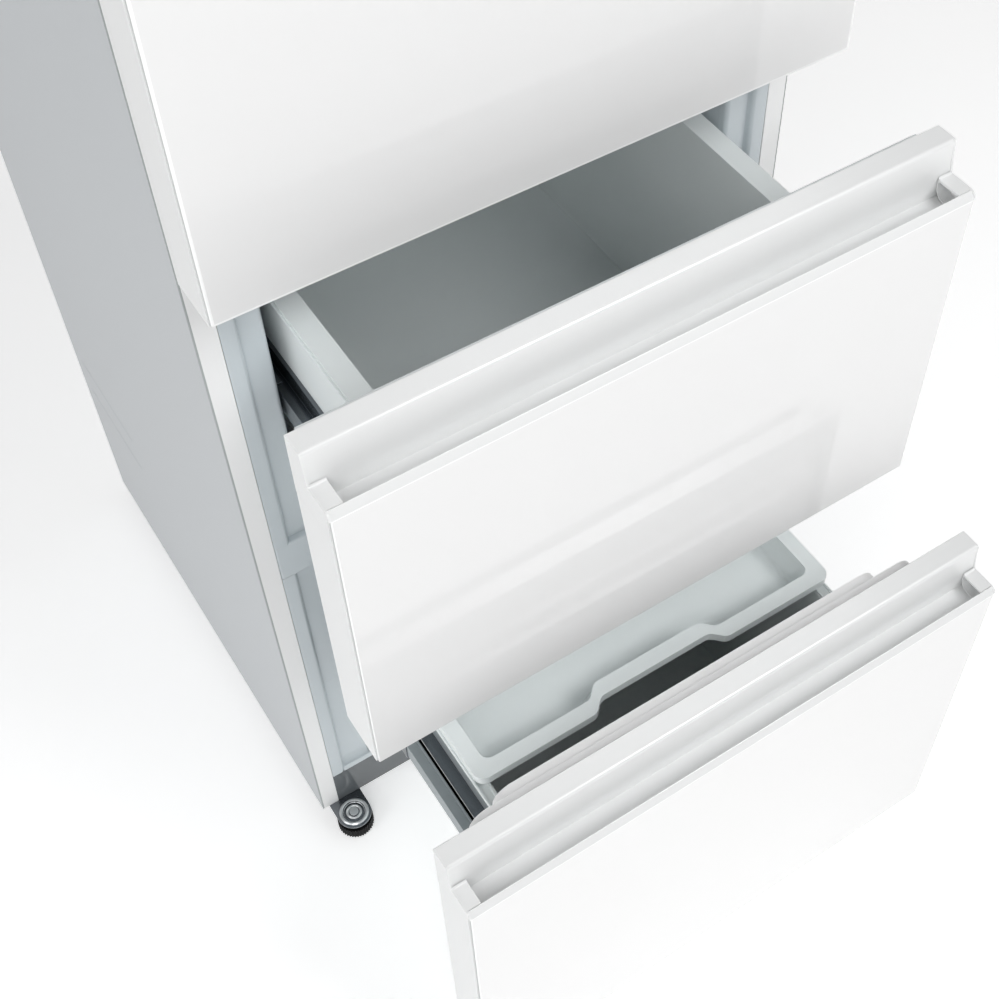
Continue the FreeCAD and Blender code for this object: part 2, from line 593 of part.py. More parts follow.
def make_fan_cover():
    cover = block("fan_cover_blank", ("-freezer_half + seat_gap", "fan_cover_y",
                                      "low_divider_high + seat_gap"),
                  ("freezer_half - seat_gap", "fan_cover_y + fan_cover_wall",
                   "high_divider_low - seat_gap"))
    through = "fan_cover_wall + overrun * 2"
    hole = rod("fan_hole", "y", ("0", "fan_cover_y - overrun", "fan_z"), "fan_hole_radius", through)
    bars = [block("guard_upright", ("-guard_bar / 2", "fan_cover_y", "fan_z - fan_hole_radius - guard_bar"),
                  ("guard_bar / 2", "fan_cover_y + fan_cover_wall", "fan_z + fan_hole_radius + guard_bar")),
            block("guard_level", ("-fan_hole_radius - guard_bar", "fan_cover_y", "fan_z - guard_bar / 2"),
                  ("fan_hole_radius + guard_bar", "fan_cover_y + fan_cover_wall", "fan_z + guard_bar / 2"))]
    intakes = []
    for number in range(1, SIZES["intake_rows"] + 1):
        low = f"low_divider_high + intake_rise * {number}"
        intakes.append(block("intake", ("-intake_wide / 2", "fan_cover_y - overrun", low),
                             ("intake_wide / 2", "fan_cover_y + fan_cover_wall + overrun",
                              f"{low} + intake_high")))
    node("freezer_fan_cover", fuse("freezer_fan_cover",
                                   [cut("fan_cover_open", cover, hole, *intakes)] + bars))


def make_fan():
    hub = rod("fan_hub", "y", ("0", "fan_y", "fan_z"), "hub_radius", "hub_long")
    blades = []
    for number in range(SIZES["blade_count"]):
        blade = doc.addObject("Part::Box", "fan_blade")
        blade.setExpression("Length", full("blade_reach - hub_radius / 2"))
        blade.setExpression("Width", full("blade_chord"))
        blade.setExpression("Height", full("blade_wall"))
        pitch = FreeCAD.Rotation(FreeCAD.Vector(1, 0, 0), SIZES["blade_pitch_degrees"])
        blade.Placement = FreeCAD.Placement(FreeCAD.Vector(), pitch)
        blade.setExpression("Placement.Base.x", full("hub_radius / 2"))
        blade.setExpression("Placement.Base.y", full("-blade_chord / 2 * cos(blade_pitch_degrees)"))
        blade.setExpression("Placement.Base.z", full("-blade_chord / 2 * sin(blade_pitch_degrees)"))
        holder = group("fan_blade_turned", [blade])
        around = FreeCAD.Rotation(FreeCAD.Vector(0, 1, 0), 360 / SIZES["blade_count"] * number)
        holder.Placement = FreeCAD.Placement(FreeCAD.Vector(), around)
        holder.setExpression("Placement.Base.y", full("fan_y + hub_long / 2"))
        holder.setExpression("Placement.Base.z", full("fan_z"))
        blades.append(holder)
    bore = rod("fan_bore", "y", ("0", "fan_y - overrun", "fan_z"), "shaft_radius + fit_gap",
               "hub_long + overrun * 2")
    node("freezer_fan", cut("freezer_fan", fuse("fan_whole", [hub] + blades), bore))
    can = rod("motor_can", "y", ("0", "deep_back_y - motor_long", "fan_z"), "motor_radius", "motor_long")
    shaft = rod("motor_shaft", "y", ("0", "fan_y", "fan_z"), "shaft_radius",
                "deep_back_y - motor_long - fan_y")
    node("fan_motor", fuse("fan_motor", [can, shaft]))


def make_evaporator():
    low = "low_divider_high + coil_rise"
    start = "deep_back_y - coil_depth"
    pieces = []
    for number in range(SIZES["fin_count"]):
        x = f"-coil_half + {number} * (coil_half * 2 - fin_wall) / (fin_count - 1)"
        foot = "low_divider_high" if number in (0, SIZES["fin_count"] - 1) else low
        pieces.append(block("fin", (x, start, foot),
                            (f"{x} + fin_wall", "deep_back_y - seat_gap", f"{low} + coil_high")))
    for number in range(SIZES["coil_rows"]):
        for share in ("coil_front_share", "coil_back_share"):
            z = f"{low} + coil_high * ({number} + 1 / 2) / coil_rows"
            pieces.append(rod("coil_pipe", "x", ("-coil_half", f"{start} + coil_depth * {share}", z),
                              "coil_pipe_radius", "coil_half * 2"))
    node("evaporator", fuse("evaporator", pieces))


# Fridge shelves on the liner's ribs, and the crisper that slides on the liner's floor
def make_shelves():
    for name in ("lower_shelf", "upper_shelf"):
        z = f"high_divider_high + fridge_room * {name}_share"
        wide = "fridge_half - shelf_side_gap"
        glass = block(f"{name}_glass", (f"-({wide})", "front_y + shelf_front", z),
                      (wide, "deep_back_y - seat_gap", f"{z} + shelf_wall"))
        trim = block(f"{name}_trim", (f"-({wide})", "front_y + shelf_front - shelf_trim_deep",
                                      f"{z} + shelf_wall - shelf_trim_high / 2"),
                     (wide, "front_y + shelf_front", f"{z} + shelf_wall + shelf_trim_high / 2"))
        node(name, fuse(name, [glass, trim]))


def make_crisper():
    half = "fridge_half - crisper_side"
    start = "front_y + shelf_front"
    end = "deep_back_y - crisper_back"
    floor = "high_divider_high + seat_gap"
    top = "high_divider_high + fridge_room * lower_shelf_share - crisper_top_gap"
    outer = block("crisper_outer", (f"-({half})", start, floor), (half, end, top))
    inner = block("crisper_inner", (f"-({half} - crisper_wall)", f"{start} + crisper_wall",
                                    f"{floor} + crisper_wall"),
                  (f"{half} - crisper_wall", f"{end} - crisper_wall", f"{top} + overrun"))
    grip = block("crisper_grip", (f"-({half})", f"{start} - crisper_lip", f"{top} - crisper_wall"),
                 (half, start, top))
    node("crisper_drawer", fuse("crisper_drawer", [cut("crisper_shell", outer, inner), grip]))


# Upper door: core with pin holes and a finger groove below, glass, liner, gasket and bins
place("face_y", "closed_y - front_thickness")
place("pin_x", "front_half - hinge_from_side")
place("pin_y", "front_y - hinge_forward")
place("dyke_half", "opening_half + lip_width - dyke_side + front_overhang")


def make_door():
    core = block("door_blank", ("-front_half", "face_y + glass_wall", "door_low"),
                 ("front_half", "closed_y", "door_top"))
    top_hole = rod("door_top_hole", "z", ("pin_x", "pin_y", "door_top - pin_long"), "pin_radius + fit_gap",
                   "pin_long + overrun")
    low_hole = rod("door_low_hole", "z", ("pin_x", "pin_y", "door_low - overrun"), "pin_radius + fit_gap",
                   "pin_long + overrun")
    groove = block("door_groove", ("-front_half + under_groove_end", "face_y + door_groove_face",
                                   "door_low - overrun"),
                   ("front_half - under_groove_end", "face_y + door_groove_face + under_groove_deep",
                    "door_low + under_groove_high"))
    node("door_core", cut("door_core", core, top_hole, low_hole, groove))
    node("door_glass", glass_panel("door_glass", "closed_y", "door_low", "door_top"))
    apron = block("door_liner_apron", ("-(dyke_half + dyke_apron)", "closed_y",
                                       "door_low + dyke_rise - dyke_apron"),
                  ("dyke_half + dyke_apron", "closed_y + liner_sheet", "door_top - dyke_drop + dyke_apron"))
    dyke = block("door_dyke", ("-dyke_half", "closed_y", "door_low + dyke_rise"),
                 ("dyke_half", "closed_y + dyke_deep", "door_top - dyke_drop"))
    well = block("door_well", ("-(dyke_half - dyke_wide)", "closed_y + liner_sheet",
                               "door_low + dyke_rise + dyke_wide"),
                 ("dyke_half - dyke_wide", "closed_y + dyke_deep + overrun",
                  "door_top - dyke_drop - dyke_wide"))
    node("door_liner", cut("door_liner", fuse("door_liner_whole", [apron, dyke]), well))
    node("door_gasket", gasket("door_gasket", "closed_y", "door_low", "door_top"))
    for name, bin_name in (("lower_door_bin", "lower_bin"), ("upper_door_bin", "upper_bin")):
        half = "dyke_half - dyke_wide - seat_gap"
        low = f"high_divider_high + fridge_room * {bin_name}_share"
        top = f"{low} + fridge_room * {bin_name}_high_share"
        start = "closed_y + liner_sheet"
        outer = block(f"{name}_outer", (f"-({half})", start, low), (half, f"{start} + bin_depth", top))
        inner = block(f"{name}_inner", (f"-({half} - bin_wall)", f"{start} + bin_wall",
                                        f"{low} + bin_wall"),
                      (f"{half} - bin_wall", f"{start} + bin_depth - bin_wall", f"{top} + overrun"))
        node(name, cut(name, outer, inner))


def glass_panel(name, back, low, high):
    """The glass face of a front."""
    face = f"{back} - front_thickness"
    return block(name, ("-front_half + glass_inset", face, f"{low} + glass_inset"),
                 ("front_half - glass_inset", f"{face} + glass_wall", high))


def gasket(name, back, low, high):
    """The soft seal round the back of a front."""
    outer = block(f"{name}_outer", ("-front_half + gasket_inset", back, f"{low} + gasket_inset"),
                  ("front_half - gasket_inset", f"{back} + gasket_gap - seat_gap",
                   f"{high} - gasket_inset"))
    edge = "gasket_inset + gasket_wide"
    inner = block(f"{name}_inner", (f"-front_half + {edge}", f"{back} - overrun", f"{low} + {edge}"),
                  (f"front_half - ({edge})", f"{back} + gasket_gap + overrun", f"{high} - ({edge})"))
    return cut(name, outer, inner)


# Drawer fronts: core, glass, grip extrusion with end caps, stepped liner and gasket
def make_drawer_front(prefix, back, low, high):
    face = f"{back} - front_thickness"
    node(f"{prefix}_front_core", block(f"{prefix}_front_core", ("-front_half", f"{face} + glass_wall", low),
                                       ("front_half", back, f"{high} - grip_high")))
    node(f"{prefix}_front_glass", glass_panel(f"{prefix}_front_glass", back, low, f"{high} - grip_lip_low"))
    section = [
        ("0", "-grip_high"), ("0", "0"), ("-grip_top_deep", "0"),
        ("-(grip_top_deep + grip_lean)", "-grip_throat"), ("-(grip_top_deep + grip_lean)", "-grip_floor"),
        ("-grip_lip_back", "-grip_floor"), ("-grip_lip_back", "-grip_lip_drop"), ("-front_thickness",
                                                                                  "-grip_lip_low"),
        ("-(front_thickness - glass_wall)", "-grip_lip_low"), ("-(front_thickness - glass_wall)",
                                                               "-grip_high"),
    ]
    start = "-front_half + cap_wall"
    bar = padded(f"{prefix}_grip_bar", "YZ_Plane", section, "(front_half - cap_wall) * 2",
                 (start, back, high))
    hollow = block(f"{prefix}_grip_hollow", (start, f"{back} - grip_top_deep + grip_hollow_wall",
                                             f"{high} - grip_high + grip_hollow_wall"),
                   ("front_half - cap_wall", f"{back} - grip_hollow_wall", f"{high} - grip_hollow_wall"))
    node(f"{prefix}_grip", cut(f"{prefix}_grip", bar, hollow))
    caps = []
    for side in SIDES:
        low_x, _ = span(side, "front_half - cap_wall", "front_half")
        caps.append(padded(f"{prefix}_{side}_cap_plate", "YZ_Plane", [
            ("0", "-grip_high"), ("0", "0"), ("-grip_top_deep", "0"), ("-(grip_top_deep + grip_lean)",
                                                                       "-grip_throat"),
            ("-grip_lip_back", "-grip_lip_drop"), ("-front_thickness", "-grip_lip_low"),
            ("-(front_thickness - glass_wall)", "-grip_lip_low"), ("-(front_thickness - glass_wall)",
                                                                   "-grip_high")],
            "cap_wall", (low_x, back, high)))
        near, far = span(side, "front_half - cap_wall - cap_tab", "front_half - cap_wall")
        caps.append(block(f"{prefix}_{side}_cap_roof",
                          (near, f"{back} - grip_lip_back + foam_gap", f"{high} - grip_throat - cap_roof"),
                          (far, f"{back} - grip_top_deep - grip_lean - foam_gap", f"{high} - grip_throat")))
    left = fuse(f"{prefix}_left_cap", caps[:2])
    right = fuse(f"{prefix}_right_cap", caps[2:])
    node(f"{prefix}_grip_end_caps", group(f"{prefix}_grip_end_caps", [left, right]))
    steps = []
    for name, side, deep, rise, drop, base in (
            ("step_one", "step_one_side", "step_one_deep", "step_one_rise", "step_one_drop", "0"),
            ("step_two", "step_two_side", "step_two_deep - step_one_deep", "step_two_rise", "step_two_drop",
             "step_one_deep")):
        half = f"front_half - {side}"
        corners = [(f"-({half})", rise), (half, rise), (half, f"{high} - ({low}) - {drop}"),
                   (f"-({half})", f"{high} - ({low}) - {drop}")]
        step = padded(f"{prefix}_{name}", "XZ_Plane", corners, deep,
                      ("0", f"{back} + {base} + {deep}", low))
        rounded(step, "step_round", lambda edge: runs_along(edge, "y"))
        steps.append(step)
    node(f"{prefix}_front_liner", fuse(f"{prefix}_front_liner", steps))
    node(f"{prefix}_gasket", gasket(f"{prefix}_gasket", back, low, high))


# Middle drawer box: a deep rim with a skirt along each side
def make_middle_box():
    rim_half = "freezer_half - box_outer_side"
    wall_half = f"{rim_half} - box_rim_wide"
    top = "middle_front_high - box_rim_drop"
    floor = "low_divider_high + box_floor_gap"
    start = "middle_y + step_two_deep"
    end = f"{start} + box_length"
    pieces = [tub("box_outer", f"{wall_half} + box_wall", start, end, floor, top, "box_round + box_wall")]
    room = tub("box_inner", wall_half, f"{start} + box_wall", f"{end} - box_wall", f"{floor} + box_wall",
               f"{top} + overrun", "box_round")
    for side in SIDES:
        low_x, high_x = span(side, wall_half, rim_half)
        pieces.append(block(f"box_{side}_rim", (low_x, start, f"{top} - box_wall"), (high_x, end, top)))
        low_x, high_x = span(side, f"{rim_half} - box_wall", rim_half)
        pieces.append(block(f"box_{side}_skirt", (low_x, start, f"{top} - box_skirt_high"),
                            (high_x, end, top)))
        low_x, high_x = span(side, rim_half, f"{rim_half} + bead_wide")
        pieces.append(block(f"box_{side}_bead", (low_x, start, f"{top} - bead_drop - bead_high"),
                            (high_x, end, f"{top} - bead_drop")))
    node("middle_drawer_box", cut("middle_drawer_box", fuse("box_whole", pieces), room))


# Bottom drawer basket
place("basket_top", "bottom_front_high - basket_rim_drop")
place("basket_half", "freezer_half - basket_side")


def make_basket():
    wall_half = "basket_half - basket_rim_wide"
    start = "bottom_y + step_two_deep"
    end = f"{start} + basket_length"
    floor = "bottom_floor + basket_floor_gap"
    lean = f"(basket_top - ({floor})) * tan(basket_draft_degrees)"
    inner_lean = f"(basket_top - ({floor}) - box_wall) * tan(basket_draft_degrees)"
    outer = tub("basket_outer", f"{wall_half} + box_wall - {lean}", f"{start} + {lean}", f"{end} - {lean}",
                floor, "basket_top", "box_round + box_wall", "basket_draft_degrees")
    rim = block("basket_rim", ("-basket_half", start, "basket_top - box_wall"),
                ("basket_half", end, "basket_top"))
    inner = tub("basket_inner", f"{wall_half} - {inner_lean}", f"{start} + box_wall + {inner_lean}",
                f"{end} - box_wall - {inner_lean}", f"{floor} + box_wall", "basket_top + overrun",
                "box_round", "basket_draft_degrees")
    node("bottom_drawer_basket", cut("bottom_drawer_basket", fuse("basket_whole", [outer, rim]), inner))


def tray_layer(name, inset, low, high):
    """One layer of the tray, its outline set in from the rim and its front edge set back in the middle."""
    front = f"bottom_y + tray_front + {inset}"
    back = f"bottom_y + tray_front + tray_length - ({inset})"
    half = f"basket_half - ({inset})"
    set_back = f"{front} + notch_deep"
    layer = padded(name, "XY_Plane", [
        (f"-({half})", back), (f"-({half})", front), ("-notch_half", front), ("-(notch_half - notch_slant)",
                                                                              set_back),
        ("notch_half - notch_slant", set_back), ("notch_half", front), (half, front), (half, back)],
        f"({high}) - ({low})", ("0", "0", low))
    return layer


def is_outer_corner(edge):
    """Whether an edge is an upright corner at one of the tray's ends."""
    return runs_along(edge, "z") and abs(edge.CenterOfMass.x) > SIZES["tray_wide_part"]


# Shallow tray that slides on the basket's rim
def make_tray():
    low = "basket_top + tray_rise"
    top = f"{low} + tray_high"
    floor = f"{top} - tray_deep"
    rim = tray_layer("tray_rim", "0", low, top)
    outer = tray_layer("tray_bowl", "tray_floor_inset", floor, top)
    inner = tray_layer("tray_room", "tray_floor_inset + tray_wall", f"{floor} + tray_wall",
                       f"{top} + overrun")
    for layer in (outer, inner):
        layer.Tip.setExpression("TaperAngle", full("tray_taper_degrees"))
    for layer, radius in ((rim, "tray_round"), (outer, "tray_round"), (inner, "tray_round - tray_wall")):
        rounded(layer, radius, is_outer_corner)
    for layer, radius in ((outer, "tray_floor_round + tray_wall"), (inner, "tray_floor_round")):
        doc.recompute()
        lowest = layer.Shape.BoundBox.ZMin
        rounded(layer, radius, lambda edge: edge.BoundBox.ZMax < lowest + SIZES["seat_gap"])
    runners = []
    for side in SIDES:
        low_x, high_x = span(side, "basket_half - runner_inset - runner_wide", "basket_half - runner_inset")
        runners.append(block(f"tray_{side}_runner",
                             (low_x, "bottom_y + tray_front + tray_rim_wide", "basket_top + seat_gap"),
                             (high_x, "bottom_y + tray_front + tray_length - tray_rim_wide", low)))
    node("freezer_tray", cut("freezer_tray", fuse("tray_whole", [rim, outer] + runners), inner))


# Telescopic slides: cabinet rail, intermediate runner and drawer rail on each side
def channel(name, side, near, far, z, half, start, end):
    """A channel whose web is at its far side."""
    low_x, high_x = span(side, near, far)
    solid = block(f"{name}_solid", (low_x, start, f"{z} - ({half})"), (high_x, end, f"{z} + ({half})"))
    low_x, high_x = span(side, f"{near} - overrun", f"{far} - rail_wall")
    room = block(f"{name}_room", (low_x, f"{start} - overrun", f"{z} - ({half}) + rail_wall"),
                 (high_x, f"{end} + overrun", f"{z} + ({half}) - rail_wall"))
    return cut(name, solid, room)


def make_slides(prefix, z, rail_long, open_by, start_y):
    front = f"{start_y} + {open_by}"
    far = "freezer_half - seat_gap"
    for side in SIDES:
        node(f"{prefix}_{side}_cabinet_rail", channel(f"{prefix}_{side}_cabinet_rail", side,
                                                      f"{far} - rail_depth", far, z,
                                                      "cabinet_rail_half", front, f"{front} + {rail_long}"))
        start = f"{front} - {open_by} / 2"
        node(f"{prefix}_{side}_intermediate_runner",
             channel(f"{prefix}_{side}_intermediate_runner", side, f"{far} - slide_step - runner_depth",
                     f"{far} - slide_step", z, "cabinet_rail_half - slide_step",
                     start, f"{start} + {rail_long}"))


place("slide_step", "rail_wall + seat_gap")
place("tongue_half", "cabinet_rail_half - slide_step * 2")


def drawer_rail(prefix, side, z, rail_long, start_y, web_low, web_high):
    """The drawer's own rail: a web beside the runner and a tongue inside it."""
    far = "freezer_half - seat_gap"
    low_x, high_x = span(side, f"{far} - web_out - web_wall", f"{far} - web_out")
    web = block(f"{prefix}_{side}_web", (low_x, start_y, web_low),
                (high_x, f"{start_y} + {rail_long}", web_high))
    low_x, high_x = span(side, f"{far} - web_out", f"{far} - slide_step * 2")
    tongue = block(f"{prefix}_{side}_tongue", (low_x, start_y, f"{z} - tongue_half"),
                   (high_x, f"{start_y} + {rail_long}", f"{z} + tongue_half"))
    return [web, tongue]


def make_middle_rails():
    z = "low_divider_high + middle_rail_rise"
    start = "middle_y + step_two_deep"
    make_slides("middle", z, "middle_rail_long", "middle_open", start)
    shelf_top = "middle_front_high - box_rim_drop - box_skirt_high"
    for side in SIDES:
        pieces = drawer_rail("middle", side, z, "middle_rail_long", start, f"{z} - tongue_half - web_wall",
                             shelf_top)
        low_x, high_x = span(side, "freezer_half - box_outer_side - box_wall * 2",
                             "freezer_half - seat_gap - web_out")
        pieces.append(block(f"middle_{side}_ledge", (low_x, start, f"{shelf_top} - web_wall * 2"),
                            (high_x, f"{start} + middle_rail_long", shelf_top)))
        node(f"middle_{side}_drawer_rail", fuse(f"middle_{side}_drawer_rail", pieces))


def make_bottom_rails():
    """Below the basket's rim, each rail has a closed channel beside its web, and a hanger up to the rim."""
    z = "bottom_floor + bottom_rail_rise"
    start = "bottom_y + step_two_deep"
    make_slides("bottom", z, "bottom_rail_long", "bottom_open", start)
    end = f"{start} + bottom_rail_long"
    top = "basket_top - side_frame_drop"
    floor = f"{top} - side_frame_deep"
    web = "freezer_half - seat_gap - web_out - web_wall"
    inner = f"{web} - side_frame_gap - side_frame_block"
    for side in SIDES:
        pieces = drawer_rail("bottom", side, z, "bottom_rail_long", start, f"{top} - side_frame_high", top)
        for part, near, far, high in (
                ("floor", inner, web, f"{floor} + web_wall"),
                ("block", inner, f"{inner} + side_frame_block", top),
                ("hanger", f"{inner} - web_wall", inner, "basket_top - box_wall")):
            low_x, high_x = span(side, near, far)
            pieces.append(block(f"bottom_{side}_{part}", (low_x, start, floor), (high_x, end, high)))
        node(f"bottom_{side}_drawer_rail", fuse(f"bottom_{side}_drawer_rail", pieces))


# Hinges of the upper door
def make_hinges():
    arm_low, arm_high = "pin_x - hinge_arm_inner", "pin_x + hinge_arm_outer"
    nose = "pin_y - hinge_arm_nose"
    plate = block("hinge_plate", ("case_half - hinge_plate_wide", "front_y + hinge_wall", "case_high"),
                  ("case_half - sheet_wall", "front_y + hinge_plate_back", "case_high + hinge_wall"))
    arm = block("hinge_arm", (arm_low, nose, "case_high"),
                (arm_high, "front_y + hinge_plate_back", "case_high + hinge_wall"))
    pin = rod("hinge_pin", "z", ("pin_x", "pin_y", "door_top - pin_long + seat_gap"), "pin_radius",
              "case_high - door_top + pin_long - seat_gap")
    node("top_hinge_bracket", fuse("top_hinge_bracket", [plate, arm, pin]))
    low = "case_high + hinge_wall + cover_gap"
    outer = block("hinge_cover_outer", ("case_half - hinge_plate_wide - hinge_cover_wall",
                                        f"{nose} - hinge_cover_wall", "case_high"),
                  ("case_half", "front_y + hinge_plate_back + hinge_cover_wall",
                   f"{low} + hinge_cover_high"))
    inner = block("hinge_cover_inner", ("case_half - hinge_plate_wide - cover_gap", f"{nose} - cover_gap",
                                        "case_high - overrun"),
                  ("case_half - hinge_cover_wall / 2", "front_y + hinge_plate_back + cover_gap",
                   f"{low} + hinge_cover_high - hinge_cover_wall"))
    node("top_hinge_cover", cut("top_hinge_cover", outer, inner))
    bracket_low = "middle_front_high + (front_gap - hinge_wall) / 2"
    leg = block("hinge_leg", (f"{arm_high} - leg_wide", "front_y - hinge_wall",
                              f"{bracket_low} - leg_drop"),
                (arm_high, "front_y", f"{bracket_low} - leg_drop + leg_high"))
    low_arm = block("low_hinge_arm", (arm_low, nose, bracket_low),
                    (arm_high, "front_y", f"{bracket_low} + hinge_wall"))
    low_pin = rod("low_hinge_pin", "z", ("pin_x", "pin_y", bracket_low), "pin_radius", "pin_long")
    node("lower_hinge_bracket", fuse("lower_hinge_bracket", [leg, low_arm, low_pin]))


make_outer_case()
make_back_panel()
make_front_frame()
make_foam()
make_liners()
make_front_bars()
make_base_frame()
make_rear_rollers()
make_feet()
make_compressor()
make_compressor_cover()
make_fan_cover()
make_fan()
make_evaporator()
make_shelves()
make_crisper()
make_door()
make_drawer_front("middle", "middle_y", "middle_front_low", "middle_front_high")
make_drawer_front("bottom", "bottom_y", "bottom_front_low", "bottom_front_high")
make_middle_box()
make_basket()
make_tray()
make_middle_rails()
make_bottom_rails()
make_hinges()
doc.recompute()

# Nothing is written unless every object is sound
for obj in doc.Objects:
    if "Invalid" in obj.State or "Error" in obj.State:
        raise RuntimeError(f"{obj.Label} failed: {obj.State}")
for name, obj in NODES.items():
    if obj.Shape.isNull() or not obj.Shape.isValid():
        raise RuntimeError(f"{name} has no sound shape")

os.makedirs("parts", exist_ok=True)
for name, obj in NODES.items():
    obj.Shape.exportStep(f"parts/{name}.step")
print(len(NODES), "sub-parts written")
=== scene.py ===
"""Fridge freezer with one wide upper door over two freezer drawers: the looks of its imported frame."""

import json
import math

import bmesh
import bpy
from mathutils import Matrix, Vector


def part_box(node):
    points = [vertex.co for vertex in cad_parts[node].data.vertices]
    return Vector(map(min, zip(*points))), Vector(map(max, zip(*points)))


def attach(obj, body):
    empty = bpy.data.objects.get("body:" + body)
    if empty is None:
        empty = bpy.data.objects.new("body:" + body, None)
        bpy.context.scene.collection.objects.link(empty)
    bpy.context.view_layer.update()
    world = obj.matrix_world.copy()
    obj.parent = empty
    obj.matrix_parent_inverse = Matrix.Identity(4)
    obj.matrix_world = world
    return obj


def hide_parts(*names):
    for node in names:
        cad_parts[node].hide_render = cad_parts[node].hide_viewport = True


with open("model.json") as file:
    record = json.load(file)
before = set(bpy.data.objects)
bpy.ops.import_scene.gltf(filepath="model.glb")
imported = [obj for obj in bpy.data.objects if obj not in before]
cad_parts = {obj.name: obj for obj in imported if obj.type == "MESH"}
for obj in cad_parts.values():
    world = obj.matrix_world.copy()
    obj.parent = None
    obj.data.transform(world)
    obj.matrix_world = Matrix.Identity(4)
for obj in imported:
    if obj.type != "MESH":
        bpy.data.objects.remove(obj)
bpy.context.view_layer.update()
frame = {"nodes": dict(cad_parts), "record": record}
bpy.ops.object.select_all(action="DESELECT")

MM = 0.001                     # Metres in a millimetre
SHARP = math.radians(25)       # An edge that turns more than this is rounded
FACING = 0.98                  # A face whose normal has this share or more along an axis faces that way
EDGE_ON = 0.02                 # A face whose normal has less than this along an axis stands square to it
NEAR = 0.5                     # Millimetres within which a corner counts as lying on a face of a box


# Camera, floor and light

def camera():
    """Above the left front corner, looking down into both open drawers."""
    down, aside = 51.77, 33.51
    bpy.ops.object.camera_add(location=(-0.5961, -1.3479, 2.0233),
                              rotation=(math.radians(90 - down), 0, math.radians(-aside)))
    eye = bpy.context.object
    eye.data.sensor_width = 36
    eye.data.lens = 54.74
    eye.data.shift_x = -0.065
    eye.data.shift_y = -0.025
    bpy.context.scene.camera = eye


def linear(code):
    """An sRGB hex colour as linear red, green, blue and alpha, by the sRGB standard's own curve."""
    shares = [int(code[start:start + 2], 16) / 255 for start in (1, 3, 5)]
    return [share / 12.92 if share <= 0.04045 else ((share + 0.055) / 1.055) ** 2.4
            for share in shares] + [1.0]


def add(tree, kind, sockets=None, links=None, **settings):
    """Adds one node to a tree, with its settings, the values of its sockets and the links into it."""
    node = tree.nodes.new("ShaderNode" + kind)
    for name, value in settings.items():
        setattr(node, name, value)
    for name, value in (sockets or {}).items():
        node.inputs[name].default_value = value
    for name, source in (links or {}).items():
        tree.links.new(source, node.inputs[name])
    return node


def surface(name, light, dark, patch, roughness, grain, depth, stretch=(1, 1, 1), more=None):
    """A finish whose colour drifts between two tones in patches and whose surface has a grain.

    patch and grain are the sizes of one patch and one grain in millimetres, and depth is the grain's height.
    stretch draws both out along an axis, and more sets other sockets of the shader.
    """
    material = bpy.data.materials.new(name)
    material.use_nodes = True
    tree = material.node_tree
    shader = tree.nodes["Principled BSDF"]
    for socket, value in (more or {}).items():
        shader.inputs[socket].default_value = value
    place = add(tree, "TexCoord")
    turned = add(tree, "Mapping", {"Scale": stretch}, {"Vector": place.outputs["Object"]})
    clouds = add(tree, "TexNoise", {"Scale": 1 / (patch * MM), "Detail": 3.0},
                 {"Vector": turned.outputs["Vector"]})
    # Kept off both ends of the ramp, where a clamped noise would draw the outline of its peaks
    drift = add(tree, "MapRange", {"To Min": 0.15, "To Max": 0.85},
                {"Value": clouds.outputs["Fac"]}, clamp=False)
    tones = add(tree, "ValToRGB", links={"Fac": drift.outputs["Result"]})
    tones.color_ramp.elements[0].color = linear(dark)
    tones.color_ramp.elements[1].color = linear(light)
    tree.links.new(tones.outputs["Color"], shader.inputs["Base Color"])
    sheen = add(tree, "MapRange", {"To Min": roughness * 0.95, "To Max": min(1.0, roughness * 1.05)},
                {"Value": drift.outputs["Result"]})
    tree.links.new(sheen.outputs["Result"], shader.inputs["Roughness"])
    grains = add(tree, "TexNoise", {"Scale": 1 / (grain * MM), "Detail": 2.0},
                 {"Vector": turned.outputs["Vector"]})
    relief = add(tree, "Bump", {"Strength": 0.5, "Distance": depth * MM},
                 {"Height": grains.outputs["Fac"]})
    tree.links.new(relief.outputs["Normal"], shader.inputs["Normal"])
    return material


